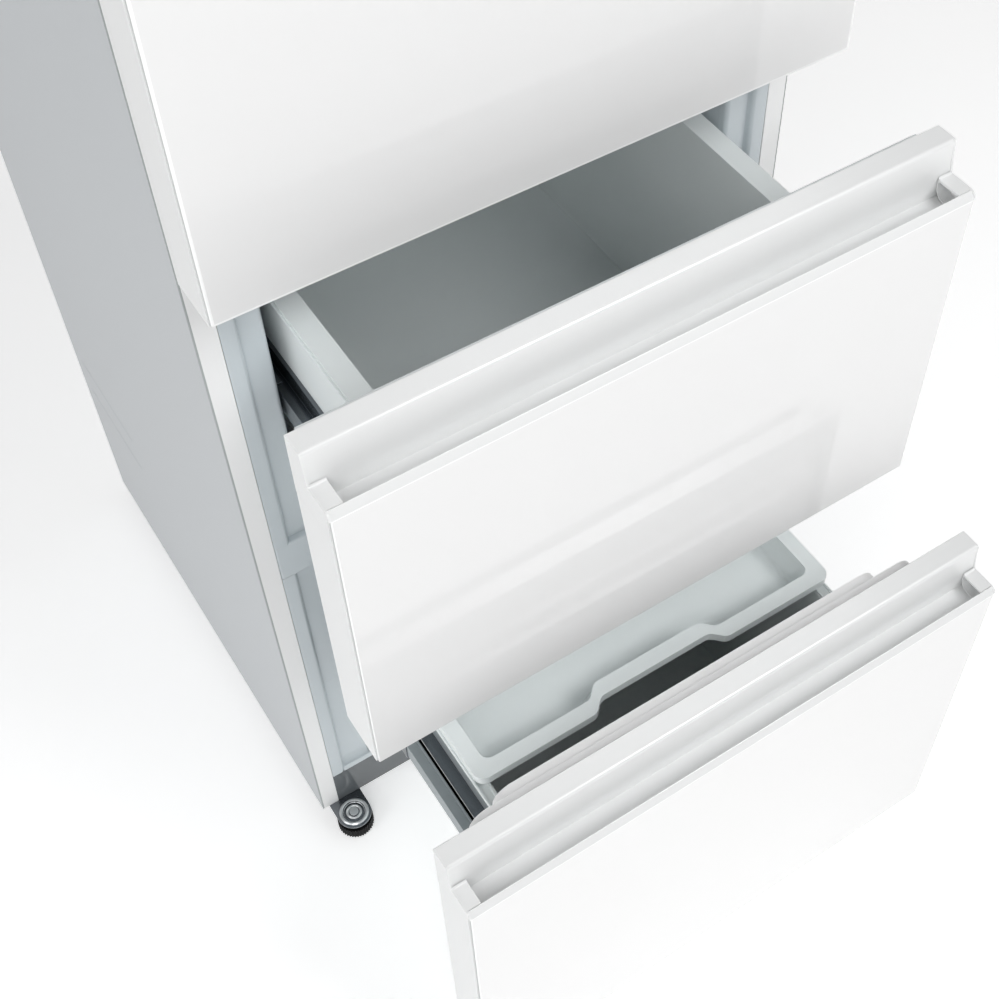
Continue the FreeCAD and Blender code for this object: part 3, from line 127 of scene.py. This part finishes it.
def finishes():
    """Every slot's finish, from the real material and how its surface was made; a few also carry painted
    light or shade, as their comments say.
    """
    return {
        # Coil coated steel sheet: flat satin grey with a faint orange peel
        "painted_case_steel": surface("Grey coil coated steel", "#bfc3c6", "#bdc1c4", 160, 0.42, 2.5, 0.01),
        # The same sheet in white: clean, even and a touch glossier
        "white_enamelled_steel": surface("White coil coated steel", "#f2f2f2", "#f0f0f0",
                                         160, 0.38, 2.5, 0.01),
        # The frame's outer edge: the case's grey, made darker than the case as painted shade on the rounded
        # edge
        "edge_grey_and_painted_shade": surface("Case grey darkened as painted shade on the frame's edge", "#a6abab", "#a1a6a6",
                               160, 0.45, 2.5, 0.01),
        # Hot dipped zinc: dull grey with a spangle about a thumbnail wide
        "galvanised_steel": surface("Hot dipped zinc on steel", "#b2b6b9", "#a5a9ad", 10, 0.4, 5, 0.03,
                                    more={"Metallic": 1.0}),
        # Zinc plating over pressed steel with fine lines drawn out front to back, its bluish tone darkened as
        # painted shade so the rails read dark in the shade they sit in
        "zinc_plated_steel": surface("Zinc plate on pressed steel darkened as painted shade", "#85898d", "#74787d",
                                     30, 0.24, 1.2, 0.02, stretch=(1, 0.08, 1), more={"Metallic": 1.0}),
        # Stove enamel over steel: deep gloss black
        "black_enamelled_steel": surface("Black stove enamel", "#121314", "#0c0d0e", 60, 0.18, 2, 0.03),
        # Rigid foam: pale yellow cells
        "rigid_foam": surface("Rigid polyurethane foam", "#d9c690", "#c7b176", 20, 0.9, 1.5, 0.4),
        # Vacuum formed polystyrene sheet: cool pale grey with a soft gloss
        "liner_plastic": surface("Vacuum formed polystyrene", "#c9d0d4", "#c5cdd1", 120, 0.3, 3, 0.02),
        # Moulded gloss ABS: mid grey and mirror smooth
        "grey_gloss_plastic": surface("Gloss moulded grey ABS", "#606467", "#5c6063", 80, 0.12, 4, 0.002),
        # Glass filled nylon: black and matt
        "black_plastic": surface("Black glass filled nylon", "#0c0d0e", "#070808", 8, 0.6, 0.6, 0.05,
                                 more={"Specular IOR Level": 0.25}),
        # Rolled aluminium fins: bright and slightly frosted
        "aluminium_fins": surface("Mill finish aluminium", "#d6d8da", "#c3c6c9", 20, 0.35, 1, 0.02,
                                  more={"Metallic": 1.0}),
        # Toughened glass: clear with a slight green tint
        "clear_glass": surface("Clear toughened glass", "#eef7f3", "#e6f2ed", 200, 0.03, 30, 0.002,
                               more={"Transmission Weight": 1.0, "IOR": 1.52}),
        # Moulded styrene: clear with a trace of milk in it
        "clear_plastic": surface("Clear moulded styrene", "#fafcfd", "#f6fafb", 120, 0.06, 8, 0.005,
                                 more={"Transmission Weight": 0.82, "IOR": 1.58}),
        # Moulded ABS: white with a satin skin
        "white_satin_plastic": surface("White satin moulded ABS", "#e9eaea", "#e7e8e8",
                                       120, 0.28, 1.2, 0.006),
        # Float glass lacquered white on its back: a flat white under a sharp clear gloss
        "white_backed_glass": surface("Glass lacquered white on its back", "#e9e9e9", "#e8e8e8",
                                      300, 0.5, 60, 0.002,
                                      more={"Coat Weight": 0.6, "Coat Roughness": 0.02, "Coat IOR": 1.52,
                                            "Specular IOR Level": 0.3}),
        # Extruded soft PVC: pale and dull
        "grey_soft_seal": surface("Extruded soft PVC", "#dfe2e3", "#d6dadb", 30, 0.6, 1, 0.03),
        # Painted highlight: a near-pure white, brighter than the faces beside it, laid on the glass's rounded
        # rim, on a thin line round the door's face and on a band beside the bottom rails' gap
        "painted_highlight_white": surface("Painted highlight white on rims and lines", "#fefefe", "#fcfdfd", 40, 0.25, 2, 0.001),
        # The glass's narrow side, ground and left dull: a thin grey line beside the bright rim
        "glass_side": surface("Dull ground side of the glass", "#c6c9c9", "#c2c5c5", 40, 0.5, 1, 0.004),
        # Bright zinc of the studs and their caps; on the foot brackets' pressed rings it is a painted
        # highlight, far lighter than the bracket's zinc they are pressed from, with broad soft gloss
        "stud_zinc_and_ring_highlight": surface("Bright zinc, painted lighter on pressed rings as highlight", "#e6e9ea", "#dce0e2", 12, 0.3, 1.2, 0.004,
                               more={"Metallic": 0.7}),
        # Powder coated steel of the bottom drawer's side frames: mid grey, satin
        "side_frame": surface("Grey powder coat on steel", "#a0a8ab", "#9ca4a7", 60, 0.45, 1.2, 0.02),
        # Vacuum formed white sheet behind the fronts: painted lighter than the mouldings of the same white,
        # to lift the shade that falls on it behind the grips, and softer
        "white_sheet_painted_lighter": surface("White vacuum formed polystyrene", "#f7f7f7", "#f5f5f5",
                                      120, 0.35, 3, 0.01),
        # Moulded polystyrene boxes: a pale, slightly cool white
        "pale_box_plastic": surface("Pale moulded polystyrene", "#f2f7f7", "#edf3f3", 90, 0.3, 1.5, 0.01),
    }


def studio():
    """A lit white floor, a dim even sky, soft boxes before the object and one behind it for gloss alone."""
    bpy.ops.mesh.primitive_plane_add(size=14, location=(0, 0, 0))
    floor = bpy.context.object
    floor.name = "studio_floor"
    floor.data.materials.append(surface("White light table", "#fdfdfd", "#fcfcfc", 900, 0.9, 20, 0.01,
                                        more={"Emission Color": (1, 1, 1, 1), "Emission Strength": 0.38}))
    sky = bpy.data.worlds.new("Even studio sky")
    bpy.context.scene.world = sky
    sky.use_nodes = True
    sky.node_tree.nodes["Background"].inputs["Color"].default_value = (1, 1, 1, 1)
    sky.node_tree.nodes["Background"].inputs["Strength"].default_value = 0.24
    aim = Vector((0, -0.4, 0.8))
    for name, place, size, power, gloss in (("Front box", (-2.6, -4.6, 4.0), 2.6, 94, False),
                                            ("Right front box", (1.7, -3.2, 4.4), 2.2, 100, False),
                                            ("Left box", (-4.5, -1.2, 3.0), 2.6, 54, False),
                                            ("Brow sheen box", (1.7, -3.2, 4.4), 0.9, 120, True),
                                            ("Back sheen box", (0.2, 2.6, 5.0), 2.2, 200, True)):
        bpy.ops.object.light_add(type="AREA", location=place)
        box = bpy.context.object
        box.name = name
        box.data.size = size
        box.data.energy = power
        box.visible_diffuse = not gloss
        box.rotation_euler = (aim - Vector(place)).to_track_quat("-Z", "Y").to_euler()
    bpy.context.scene.view_settings.view_transform = "Standard"


# Ways of working

def box_of(node):
    """The two corners of a CAD node's box in millimetres."""
    low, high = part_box(node)
    return low / MM, high / MM


def take(piece):
    """Makes one piece the only one chosen."""
    bpy.ops.object.select_all(action="DESELECT")
    piece.select_set(True)
    bpy.context.view_layer.objects.active = piece


def open_up(piece, kind="FACE"):
    """Opens a piece for shaping, with nothing on it selected."""
    take(piece)
    bpy.ops.object.mode_set(mode="EDIT")
    bpy.ops.mesh.select_mode(type=kind)
    bpy.ops.mesh.select_all(action="DESELECT")


def close():
    """Ends the shaping of the open piece."""
    bpy.ops.object.mode_set(mode="OBJECT")


def traced(node):
    """A new piece that starts as a copy of a CAD node, merged, with its flat faces made whole again."""
    weld, flat = 0.005 * MM, math.radians(0.4)
    piece = bpy.data.objects.new(node + "_dressed", frame["nodes"][node].data.copy())
    bpy.context.collection.objects.link(piece)
    open_up(piece)
    bpy.ops.mesh.select_all(action="SELECT")
    bpy.ops.mesh.remove_doubles(threshold=weld)
    bpy.ops.mesh.dissolve_limited(angle_limit=flat)
    close()
    piece.data.materials.clear()
    return piece


def round_edges(piece, radius, segments, wanted=lambda a, b: True):
    """Rounds the sharp edges of a piece whose two ends, in millimetres, a test picks."""
    open_up(piece, "EDGE")
    mesh = bmesh.from_edit_mesh(piece.data)
    for edge in mesh.edges:
        a, b = (corner.co / MM for corner in edge.verts)
        edge.select_set(edge.is_manifold and edge.calc_face_angle() > SHARP and wanted(a, b))
    bmesh.update_edit_mesh(piece.data)
    bpy.ops.mesh.bevel(offset=radius * MM, segments=segments, affect="EDGES", clamp_overlap=True)
    close()


def shift(piece, wanted, step):
    """Moves the corners that a test of their place picks, all in millimetres."""
    open_up(piece, "VERT")
    mesh = bmesh.from_edit_mesh(piece.data)
    for corner in mesh.verts:
        corner.select_set(wanted(corner.co / MM))
    bmesh.update_edit_mesh(piece.data)
    bpy.ops.transform.translate(value=Vector(step) * MM)
    close()


def score(piece, axis, places):
    """Cuts edges round a piece in planes square to an axis, at places in millimetres."""
    open_up(piece)
    for place in places:
        spot = Vector((0, 0, 0))
        spot[axis] = 1
        bpy.ops.mesh.select_all(action="SELECT")
        bpy.ops.mesh.bisect(plane_co=spot * place * MM, plane_no=spot)
    close()


def upright(a, b):
    """Whether an edge runs mostly up and down."""
    steep = 4
    return abs(a.z - b.z) > steep * max(abs(a.x - b.x), abs(a.y - b.y))


def coat(piece, finish, wanted):
    """Gives another finish to the faces that a test of their middle, in millimetres, and normal picks."""
    piece.data.materials.append(finish)
    piece.active_material_index = len(piece.data.materials) - 1
    open_up(piece)
    mesh = bmesh.from_edit_mesh(piece.data)
    for face in mesh.faces:
        face.select_set(wanted(face.calc_center_median() / MM, face.normal))
    bmesh.update_edit_mesh(piece.data)
    bpy.ops.object.material_slot_assign()
    close()


def drawn(points, depth):
    """Starts a piece as a line drawn through points of depth, across and up, in millimetres."""
    start = Vector((depth, *points[0])) * MM
    bpy.ops.mesh.primitive_plane_add(size=MM, location=start)
    piece = bpy.context.object
    bpy.ops.object.transform_apply(location=True, rotation=True, scale=True)
    open_up(piece, "VERT")
    bpy.ops.mesh.select_all(action="SELECT")
    bpy.ops.mesh.merge(type="CENTER")
    for first, second in zip(points, points[1:]):
        step = (0, (second[0] - first[0]) * MM, (second[1] - first[1]) * MM)
        bpy.ops.mesh.extrude_vertices_move(TRANSFORM_OT_translate={"value": step})
    bpy.ops.mesh.select_all(action="SELECT")
    return piece


def filled(piece, step):
    """Fills a drawn outline and pulls it along a step in metres, which makes a closed solid of it."""
    bpy.ops.mesh.edge_face_add()
    bpy.ops.mesh.extrude_region_move(TRANSFORM_OT_translate={"value": step})
    bpy.ops.mesh.select_all(action="SELECT")
    bpy.ops.mesh.normals_make_consistent(inside=False)
    close()
    return piece


def bar(points, low, high):
    """A bar across the front from its outline, as pairs of Y and Z, between two X, in millimetres."""
    return filled(drawn(points, low), ((high - low) * MM, 0, 0))


def post(points, low, high):
    """An upright strip from its outline, as pairs of X and Y, between two heights, in millimetres."""
    piece = drawn([(0, 0)] * len(points), 0)
    mesh = bmesh.from_edit_mesh(piece.data)
    mesh.verts.ensure_lookup_table()
    for corner, (across, along) in zip(mesh.verts, points):
        corner.co = (across * MM, along * MM, low * MM)
    bmesh.update_edit_mesh(piece.data)
    return filled(piece, (0, 0, (high - low) * MM))


def spun(points, centre):
    """A piece turned about an upright line from its outline, as pairs of radius and height in millimetres."""
    steps, weld = 40, 0.01 * MM
    piece = drawn([(0, height) for radius, height in points], 0)
    mesh = bmesh.from_edit_mesh(piece.data)
    mesh.verts.ensure_lookup_table()
    for corner, (radius, height) in zip(mesh.verts, points):
        corner.co = (radius * MM, 0, height * MM)
    bmesh.update_edit_mesh(piece.data)
    bpy.ops.mesh.spin(steps=steps, angle=math.tau, center=(0, 0, 0), axis=(0, 0, 1), use_auto_merge=True)
    bpy.ops.mesh.select_all(action="SELECT")
    bpy.ops.mesh.remove_doubles(threshold=weld)
    bpy.ops.mesh.normals_make_consistent(inside=False)
    bpy.ops.transform.translate(value=(centre.x * MM, centre.y * MM, 0))
    close()
    return piece


def brick(low, high):
    """A block between two corners in millimetres, for a rib or a pad that is rounded afterwards."""
    low, high = Vector(low) * MM, Vector(high) * MM
    bpy.ops.mesh.primitive_cube_add(size=1, location=(low + high) / 2, scale=high - low)
    piece = bpy.context.object
    bpy.ops.object.transform_apply(location=True, rotation=True, scale=True)
    return piece


def arc(across, up, radius, start, end, steps):
    """Points along an arc about a centre, from one angle to another in degrees."""
    angles = [math.radians(start + (end - start) * step / steps) for step in range(steps + 1)]
    return [(across + radius * math.cos(angle), up + radius * math.sin(angle)) for angle in angles]


def joined(first, *others):
    """Several pieces made one."""
    take(first)
    for other in others:
        other.select_set(True)
    bpy.ops.object.join()
    return first


def settle(piece, name, body, slot, *nodes, angle=35):
    """Names a finished piece, smooths it, gives it its finish and lets it ride a body in its nodes' place."""
    take(piece)
    piece.name = name
    piece.data.name = name
    bpy.ops.object.shade_smooth_by_angle(angle=math.radians(angle))
    bpy.ops.object.modifier_add(type="WEIGHTED_NORMAL")
    piece.modifiers[-1].keep_sharp = True
    piece.modifiers[-1].weight = 100
    bpy.ops.object.modifier_apply(modifier=piece.modifiers[-1].name)
    if not piece.data.materials:
        piece.data.materials.append(FINISH[slot])
    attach(piece, body)
    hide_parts(*nodes)


# Fronts

def glass_face(node, body):
    """A front's glass: eased corners, a rounded arris with a painted highlight on it and, on the door, a
    painted highlight line round its face.
    """
    low, high = box_of(node)
    corner, arris = 1.8, 1.1
    piece = brick(low, high)
    round_edges(piece, corner, 3, lambda a, b: abs(a.y - b.y) > 1)
    round_edges(piece, arris, 2, lambda a, b: max(a.y, b.y) < low.y + NEAR)
    piece.data.materials.append(FINISH["white_backed_glass"])
    # Painted highlight: the rounded arris gets the near-white finish
    coat(piece, FINISH["painted_highlight_white"], lambda middle, normal: -FACING < normal.y < -EDGE_ON)
    coat(piece, FINISH["glass_side"], lambda middle, normal: abs(normal.y) < EDGE_ON)
    if node == "door_glass":
        # Painted highlight: a near-white line this wide round the door's flat face, just inside its edge
        line = 2.8
        score(piece, 0, (low.x + line, high.x - line))
        score(piece, 2, (low.z + line, high.z - line))
        coat(piece, FINISH["painted_highlight_white"], lambda middle, normal: normal.y < -FACING and min(
            middle.x - low.x, high.x - middle.x, middle.z - low.z, high.z - middle.z) < line)
    settle(piece, node + "_panel", body, "white_backed_glass", node)


def grip(prefix, body):
    """The extruded grip of a drawer front: a broad rounded brow over a hollow for the fingers, and a lip.

    Its outline and the caps' ones run in millimetres forward from the back of the grip and up from its top.
    """
    low, high = box_of(prefix + "_grip")
    back, top = high.y, high.z
    brow = [(0, -75), (0, -0.8), (0.8, 0)] + arc(22.1, -4.5, 4.5, 90, 0, 6) + [(27.6, -20), (29.4, -34)]
    hollow = [(30, -42), (30, -60.5)] + arc(30.5, -60.5, 0.5, 180, 270, 2)
    hollow += arc(57.5, -59, 2, 270, 360, 3)
    lip = arc(60.5, -39, 1, 180, 50, 3) + arc(65.7, -45.6, 0.9, 40, 0, 2)
    lip += [(66.6, -46), (62.6, -46), (62.6, -75)]
    piece = bar([(back - forward, top + up) for forward, up in brow + hollow + lip], low.x, high.x)
    settle(piece, prefix + "_grip_rail", body, "white_satin_plastic", prefix + "_grip", angle=40)


def end_caps(prefix, body):
    """The caps at both ends of a grip: a side plate, a small roof over the hollow and a sleeve in it."""
    high = box_of(prefix + "_grip_end_caps")[1]
    back, top, outside = high.y, high.z, high.x
    plate = [(0, -75), (0, -0.8), (0.8, 0), (24, 0)] + arc(24.4, -2.2, 2.2, 90, 0, 3)
    plate += [(28.2, -20), (30.4, -36)] + arc(32.6, -35.8, 2.2, 185, 265, 3)
    plate += arc(59.2, -45.2, 7.4, 90, 0, 5) + [(66.6, -46), (62.6, -46), (62.6, -75)]
    roof = arc(33.8, -34.8, 3.2, 190, 265, 4) + [(59.3, -38), (59.3, -40.6), (31.4, -40.6)]
    sleeve = [(30.4, -39)] + arc(43.4, -47.6, 13, 180, 270, 8) + arc(57.4, -58.9, 1.8, 270, 360, 3)
    sleeve += [(59.2, -40), (58.2, -40)] + arc(57.4, -58.9, 0.8, 360, 270, 2)
    sleeve += arc(43.4, -47.6, 11.8, 270, 180, 8) + [(31.6, -39)]
    parts = []
    for side in (-1, 1):
        # Each outline with its inner and outer end, in millimetres from the cap's outside, and its easing
        for outline, inner, outer, ease in ((plate, 2.5, 0, 0.5), (roof, 17.8, 2, 0.6),
                                            (sleeve, 17.6, 2, 0.25)):
            ends = sorted((side * (outside - inner), side * (outside - outer)))
            part = bar([(back - forward, top + up) for forward, up in outline], *ends)
            rim = side * (outside - (outer if outline is plate else inner))
            round_edges(part, ease, 2, lambda a, b: max(abs(a.x - rim), abs(b.x - rim)) < 0.1)
            parts.append(part)
    settle(joined(*parts), prefix + "_grip_caps", body, "white_satin_plastic",
           prefix + "_grip_end_caps", angle=40)


def eased(node, body, slot, radius, segments=2):
    """A CAD node's own shape with its edges eased to a real radius."""
    piece = traced(node)
    round_edges(piece, radius, segments)
    settle(piece, node + "_body", body, slot, node)


def soft_seal(prefix, body):
    """The seal round the back of a front: a magnetic lip on a bellows that folds in at its waist.

    The bottom one's upper run leans forward, as it does in the picture.
    """
    node = prefix + "_gasket"
    low, high = box_of(node)
    wide, fold, lean, near_edge, near_face = 15, 3, (8.6, 2.2), 0.3, 0.2
    piece = traced(node)
    if prefix == "bottom":
        for edge, forward in zip((high.z, high.z - wide), lean):
            shift(piece, lambda spot: spot.y > high.y - near_face and abs(spot.z - edge) < near_edge,
                  (0, -forward, 0))
    above, waist, below = (low.y + (high.y - low.y) * share for share in (0.25, 0.45, 0.65))
    score(piece, 1, (above, waist, below))
    for axis in (0, 2):
        start, end = low[axis], high[axis]
        for edge, inward in ((start, fold), (start + wide, -fold), (end - wide, fold), (end, -fold)):
            step = [0, 0, 0]
            step[axis] = inward
            shift(piece, lambda spot: abs(spot.y - waist) < near_face and abs(spot[axis] - edge) < near_edge,
                  step)
    round_edges(piece, 0.8, 2, lambda a, b: min(a.y, b.y) > high.y - near_face)
    settle(piece, prefix + "_soft_seal", body, "grey_soft_seal", node, angle=25)


def fronts():
    """The three fronts with all that is fixed to them."""
    raised = 13.5                  # How far the lower back edge of a drawer's liner slopes up
    glass_face("door_glass", "door")
    eased("door_core", "door", "white_satin_plastic", 0.8)
    eased("door_liner", "door", "white_satin_plastic", 3, 3)
    soft_seal("door", "door")
    for prefix in ("middle", "bottom"):
        body = prefix + "_drawer"
        glass_face(prefix + "_front_glass", body)
        eased(prefix + "_front_core", body, "white_satin_plastic", 0.8)
        low = box_of(prefix + "_front_liner")[0]
        liner = traced(prefix + "_front_liner")
        shift(liner, lambda spot: spot.z < low.z + NEAR and spot.y > low.y + 1, (0, 0, raised))
        round_edges(liner, 5, 4)
        # Painted light: the liner gets a lighter copy of the grips' white, against the shade that falls on it
        # behind the grip
        liner.data.materials.append(FINISH["white_sheet_painted_lighter"])
        settle(liner, prefix + "_front_back", body, "white_satin_plastic", prefix + "_front_liner")
        grip(prefix, body)
        end_caps(prefix, body)
        soft_seal(prefix, body)


# Boxes, tray and slides

def middle_box():
    """The middle drawer's box: a flat rim, and below it a notched bead along each side."""
    low, high = box_of("middle_drawer_box")
    piece = traced("middle_drawer_box")
    round_edges(piece, 0.8, 2)
    thick, pitch, count = 1.2, 19.3, 26
    first, top, foot = low.y + 10.6, high.z - 2.4, high.z - 6.6
    ticks = []
    for side in (-1, 1):
        near, far = sorted((side * (high.x - 2.3), side * (high.x - 0.1)))
        tick = brick((near, first, foot), (far, first + thick, top))
        round_edges(tick, 0.3, 1)
        bpy.ops.object.modifier_add(type="ARRAY")
        row = tick.modifiers[-1]
        row.count = count
        row.use_relative_offset = False
        row.use_constant_offset = True
        row.constant_offset_displace = (0, pitch * MM, 0)
        bpy.ops.object.modifier_apply(modifier=row.name)
        ticks.append(tick)
    settle(joined(piece, *ticks), "middle_box", "middle_drawer", "pale_box_plastic", "middle_drawer_box")


def basket():
    """The bottom drawer's basket, with two low ridges on each side of its rim that guide the tray."""
    low, high = box_of("bottom_drawer_basket")
    piece = traced("bottom_drawer_basket")
    round_edges(piece, 0.8, 2)
    short, tall, sunk = 8, 3.2, 1
    ridges = []
    for side in (-1, 1):
        for inner, outer in ((16.2, 12.2), (2.8, 0.2)):
            ends = sorted((side * (high.x - inner), side * (high.x - outer)))
            ridge = brick((ends[0], low.y + short, high.z - sunk), (ends[1], high.y - short, high.z + tall))
            round_edges(ridge, 0.9, 2, lambda a, b: max(a.z, b.z) > high.z)
            ridges.append(ridge)
    settle(joined(piece, *ridges), "basket", "bottom_drawer", "pale_box_plastic", "bottom_drawer_basket")


def tray():
    """The shallow tray: a flat rim with rounded turns round the notch in its front."""
    notch = 100                    # The notch's turns lie less than this from the middle
    piece = traced("freezer_tray")
    round_edges(piece, 5, 4, lambda a, b: upright(a, b) and abs(a.x) < notch)
    round_edges(piece, 1.1, 3)
    settle(piece, "sliding_tray", "tray", "pale_box_plastic", "freezer_tray")


def slides():
    """The telescopic slides: zinc members darkened as painted shade, and on the bottom drawer's rails grey
    side frames, painted shade and a painted highlight as well.

    The first three names are places out from the middle: where a rail's outer frame starts, where the deep
    gap in the rail is painted black as painted shade, and where a painted highlight line runs beside that.
    The other three are heights.
    """
    side_frame, hollow, painted_highlight_band = 259, (256.2, 259.3), (255.3, 256.2)
    frame_top, painted_shade_low, painted_highlight_low = 401, 380, 399
    for prefix in ("middle", "bottom"):
        for side in ("left", "right"):
            name = f"{prefix}_{side}_"
            eased(name + "cabinet_rail", "cabinet", "zinc_plated_steel", 0.4)
            eased(name + "intermediate_runner", prefix + "_slides", "zinc_plated_steel", 0.4)
            piece = traced(name + "drawer_rail")
            round_edges(piece, 0.5, 2)
            piece.data.materials.append(FINISH["zinc_plated_steel"])
            if prefix == "bottom":
                coat(piece, FINISH["side_frame"],
                     lambda middle, normal: abs(middle.x) > side_frame or middle.z > frame_top)
                # Painted shade: the deep gap in the steel rail gets the black nylon finish, where there is
                # only shade
                coat(piece, FINISH["black_plastic"],
                     lambda middle, normal: hollow[0] < abs(middle.x) < hollow[1] and middle.z > painted_shade_low)
                # Painted highlight: a thin near-white band beside the gap stands in for a glint on the rail's
                # edge
                coat(piece, FINISH["painted_highlight_white"],
                     lambda middle, normal: painted_highlight_band[0] < abs(middle.x) < painted_highlight_band[1] and middle.z > painted_highlight_low)
            settle(piece, name + "slide", prefix + "_drawer", "zinc_plated_steel", name + "drawer_rail")


# Cabinet

def flanges():
    """The white flanged frame, with a darker grey line along its outer edges: the case's grey, darkened as
    painted shade on the rounded edge.
    """
    low, high = box_of("front_frame")
    # Width of the painted shade line along the frame's outer edges
    fold = 2
    piece = traced("front_frame")
    round_edges(piece, 0.6, 2)
    score(piece, 0, (low.x + fold, high.x - fold))
    piece.data.materials.append(FINISH["white_enamelled_steel"])
    coat(piece, FINISH["edge_grey_and_painted_shade"], lambda middle, normal: abs(middle.x) > high.x - fold)
    settle(piece, "front_frame_body", "cabinet", "white_enamelled_steel", "front_frame")


def feet():
    """The front foot brackets, each with two pressed rings round its stud, and the toothed feet below them.

    Both outlines are pairs of radius and height: pressed, of the rings, above the bracket's plate, and dome,
    of the stud's cap, above the bracket.
    """
    high = box_of("foot_brackets")[1]
    plate, stud = high.z - 1.5, 18.5
    pressed = [(7.2, -1), (7.8, 1), (9.4, 2), (11.2, 1), (12.8, -0.5), (14, -0.5), (15.6, 1), (17.2, 2.2),
               (19, 2.2), (20.8, 0.6), (21.4, -1.4), (7.2, -1.4), (7.2, -1)]
    dome = [(0, 1.4), (2.4, 1.3), (4.4, 0.7), (5.4, -0.4), (5.7, -1.6), (0, -1.6)]
    brackets = traced("foot_brackets")
    round_edges(brackets, 0.5, 2)
    brackets.data.materials.append(FINISH["zinc_plated_steel"])
    rings = []
    for side in ("left", "right"):
        body = side + "_foot"
        node = side + "_levelling_foot"
        foot_low, foot_high = box_of(node)
        centre = (foot_low + foot_high) / 2
        ring = spun([(radius, plate + up) for radius, up in pressed], centre)
        # Painted highlight: the rings are coloured far lighter than the zinc of the bracket they belong to
        ring.data.materials.append(FINISH["stud_zinc_and_ring_highlight"])
        rings.append(ring)
        foot = traced(node)
        round_edges(foot, 0.4, 1)
        foot.data.materials.append(FINISH["black_plastic"])
        coat(foot, FINISH["stud_zinc_and_ring_highlight"], lambda middle, normal: middle.z > stud)
        cap = spun([(radius, high.z + up) for radius, up in dome], centre)
        cap.data.materials.append(FINISH["stud_zinc_and_ring_highlight"])
        settle(joined(foot, cap), side + "_foot_with_stud", body, "black_plastic", node)
    settle(joined(brackets, *rings), "pressed_foot_brackets", "cabinet", "zinc_plated_steel",
           "foot_brackets")


def freezer_liner(prefix):
    """A freezer compartment's liner: its box, and at both sides a lip that steps back in soft bends.

    Outlines run in millimetres: inward from the liner's side, back from its front and up from its foot. The
    bottom one also has a rounded sill and, beside it, a foot that curves forward below the slides.
    """
    node = prefix + "_freezer_liner"
    low, high = box_of(node)
    front, foot, cut, clear = low.y, low.z, 19.4, 0.2
    liner = traced(node)
    open_up(liner)
    bpy.ops.mesh.select_all(action="SELECT")
    bpy.ops.mesh.bisect(plane_co=(0, (front + cut) * MM, 0), plane_no=(0, 1, 0), clear_inner=True,
                        use_fill=True)
    close()
    lip = [(0.2, 1.8), (0.2, 0.6), (0.8, 0)] + arc(13.3, 6.5, 6.5, 270, 350, 6)
    ledge = arc(22, 6.6, 2.2, 170, 100, 3) + arc(43, 14, 5.2, 270, 360, 5)
    behind = [(48.2, 21), (46.3, 21), (46.3, 10.8), (18, 10.8), (18, 3), (16.8, 1.8)]
    parts = []
    for side in (1, -1):
        strip = [((inward - high.x) * side, front + back) for inward, back in lip + ledge + behind]
        parts.append(post(strip, foot + clear, high.z - clear))
    if prefix == "bottom":
        scoop = [(10.5, 10), (10.5, 224), (8.65, 224), (8.65, 31), (8.6, 21), (8, 16.6), (6.4, 13.6),
                 (3.8, 11.4), (0.6, 10.2)]
        for side in (1, -1):
            ends = sorted((side * (high.x - 19.6), side * (high.x - 58.8)))
            parts.append(bar([(front + back, foot + up) for back, up in scoop], *ends))
        sill = [(20, 9), (20, 11)] + arc(2.5, 8.5, 2.5, 90, 180, 4) + [(0, 0.2), (2, 0.2), (2, 9)]
        parts.append(bar([(front + back, foot + up) for back, up in sill], 18 - high.x, high.x - 18))
    settle(joined(liner, *parts), prefix + "_liner", "cabinet", "liner_plastic", node, angle=50)


def cabinet():
    """The cabinet's own pieces, eased to the radii of bent sheet, pressed sheet and mouldings."""
    eased("outer_case", "cabinet", "painted_case_steel", 0.8)
    flanges()
    eased("kick_plate", "cabinet", "grey_gloss_plastic", 1.5, 3)
    eased("freezer_divider_bar", "cabinet", "liner_plastic", 2.5, 3)
    eased("fridge_divider_bar", "cabinet", "liner_plastic", 2.5, 3)
    freezer_liner("middle")
    freezer_liner("bottom")
    eased("fridge_liner", "cabinet", "liner_plastic", 3, 3)
    feet()
    eased("top_hinge_cover", "cabinet", "white_satin_plastic", 1.6, 3)
    eased("compressor_cover", "cabinet", "galvanised_steel", 0.3)
    eased("compressor", "cabinet", "black_enamelled_steel", 1.5)
    eased("base_frame", "cabinet", "galvanised_steel", 0.5)
    eased("freezer_fan_cover", "cabinet", "liner_plastic", 0.8)
    eased("upper_shelf", "cabinet", "clear_glass", 0.6)
    eased("lower_shelf", "cabinet", "clear_glass", 0.6)
    eased("rear_rollers", "rollers", "black_plastic", 0.8)
    eased("crisper_drawer", "crisper", "clear_plastic", 1)
    eased("lower_door_bin", "door", "clear_plastic", 0.8)
    eased("upper_door_bin", "door", "clear_plastic", 0.8)
    eased("top_hinge_bracket", "cabinet", "zinc_plated_steel", 0.4)
    eased("lower_hinge_bracket", "cabinet", "zinc_plated_steel", 0.4)


camera()
studio()
FINISH = finishes()
slots = {part["node"]: part["material_slot"] for part in frame["record"]["subparts"]}
for name, node in frame["nodes"].items():
    node.data.materials.clear()
    node.data.materials.append(FINISH[slots[name]])
fronts()
middle_box()
basket()
tray()
slides()
cabinet()
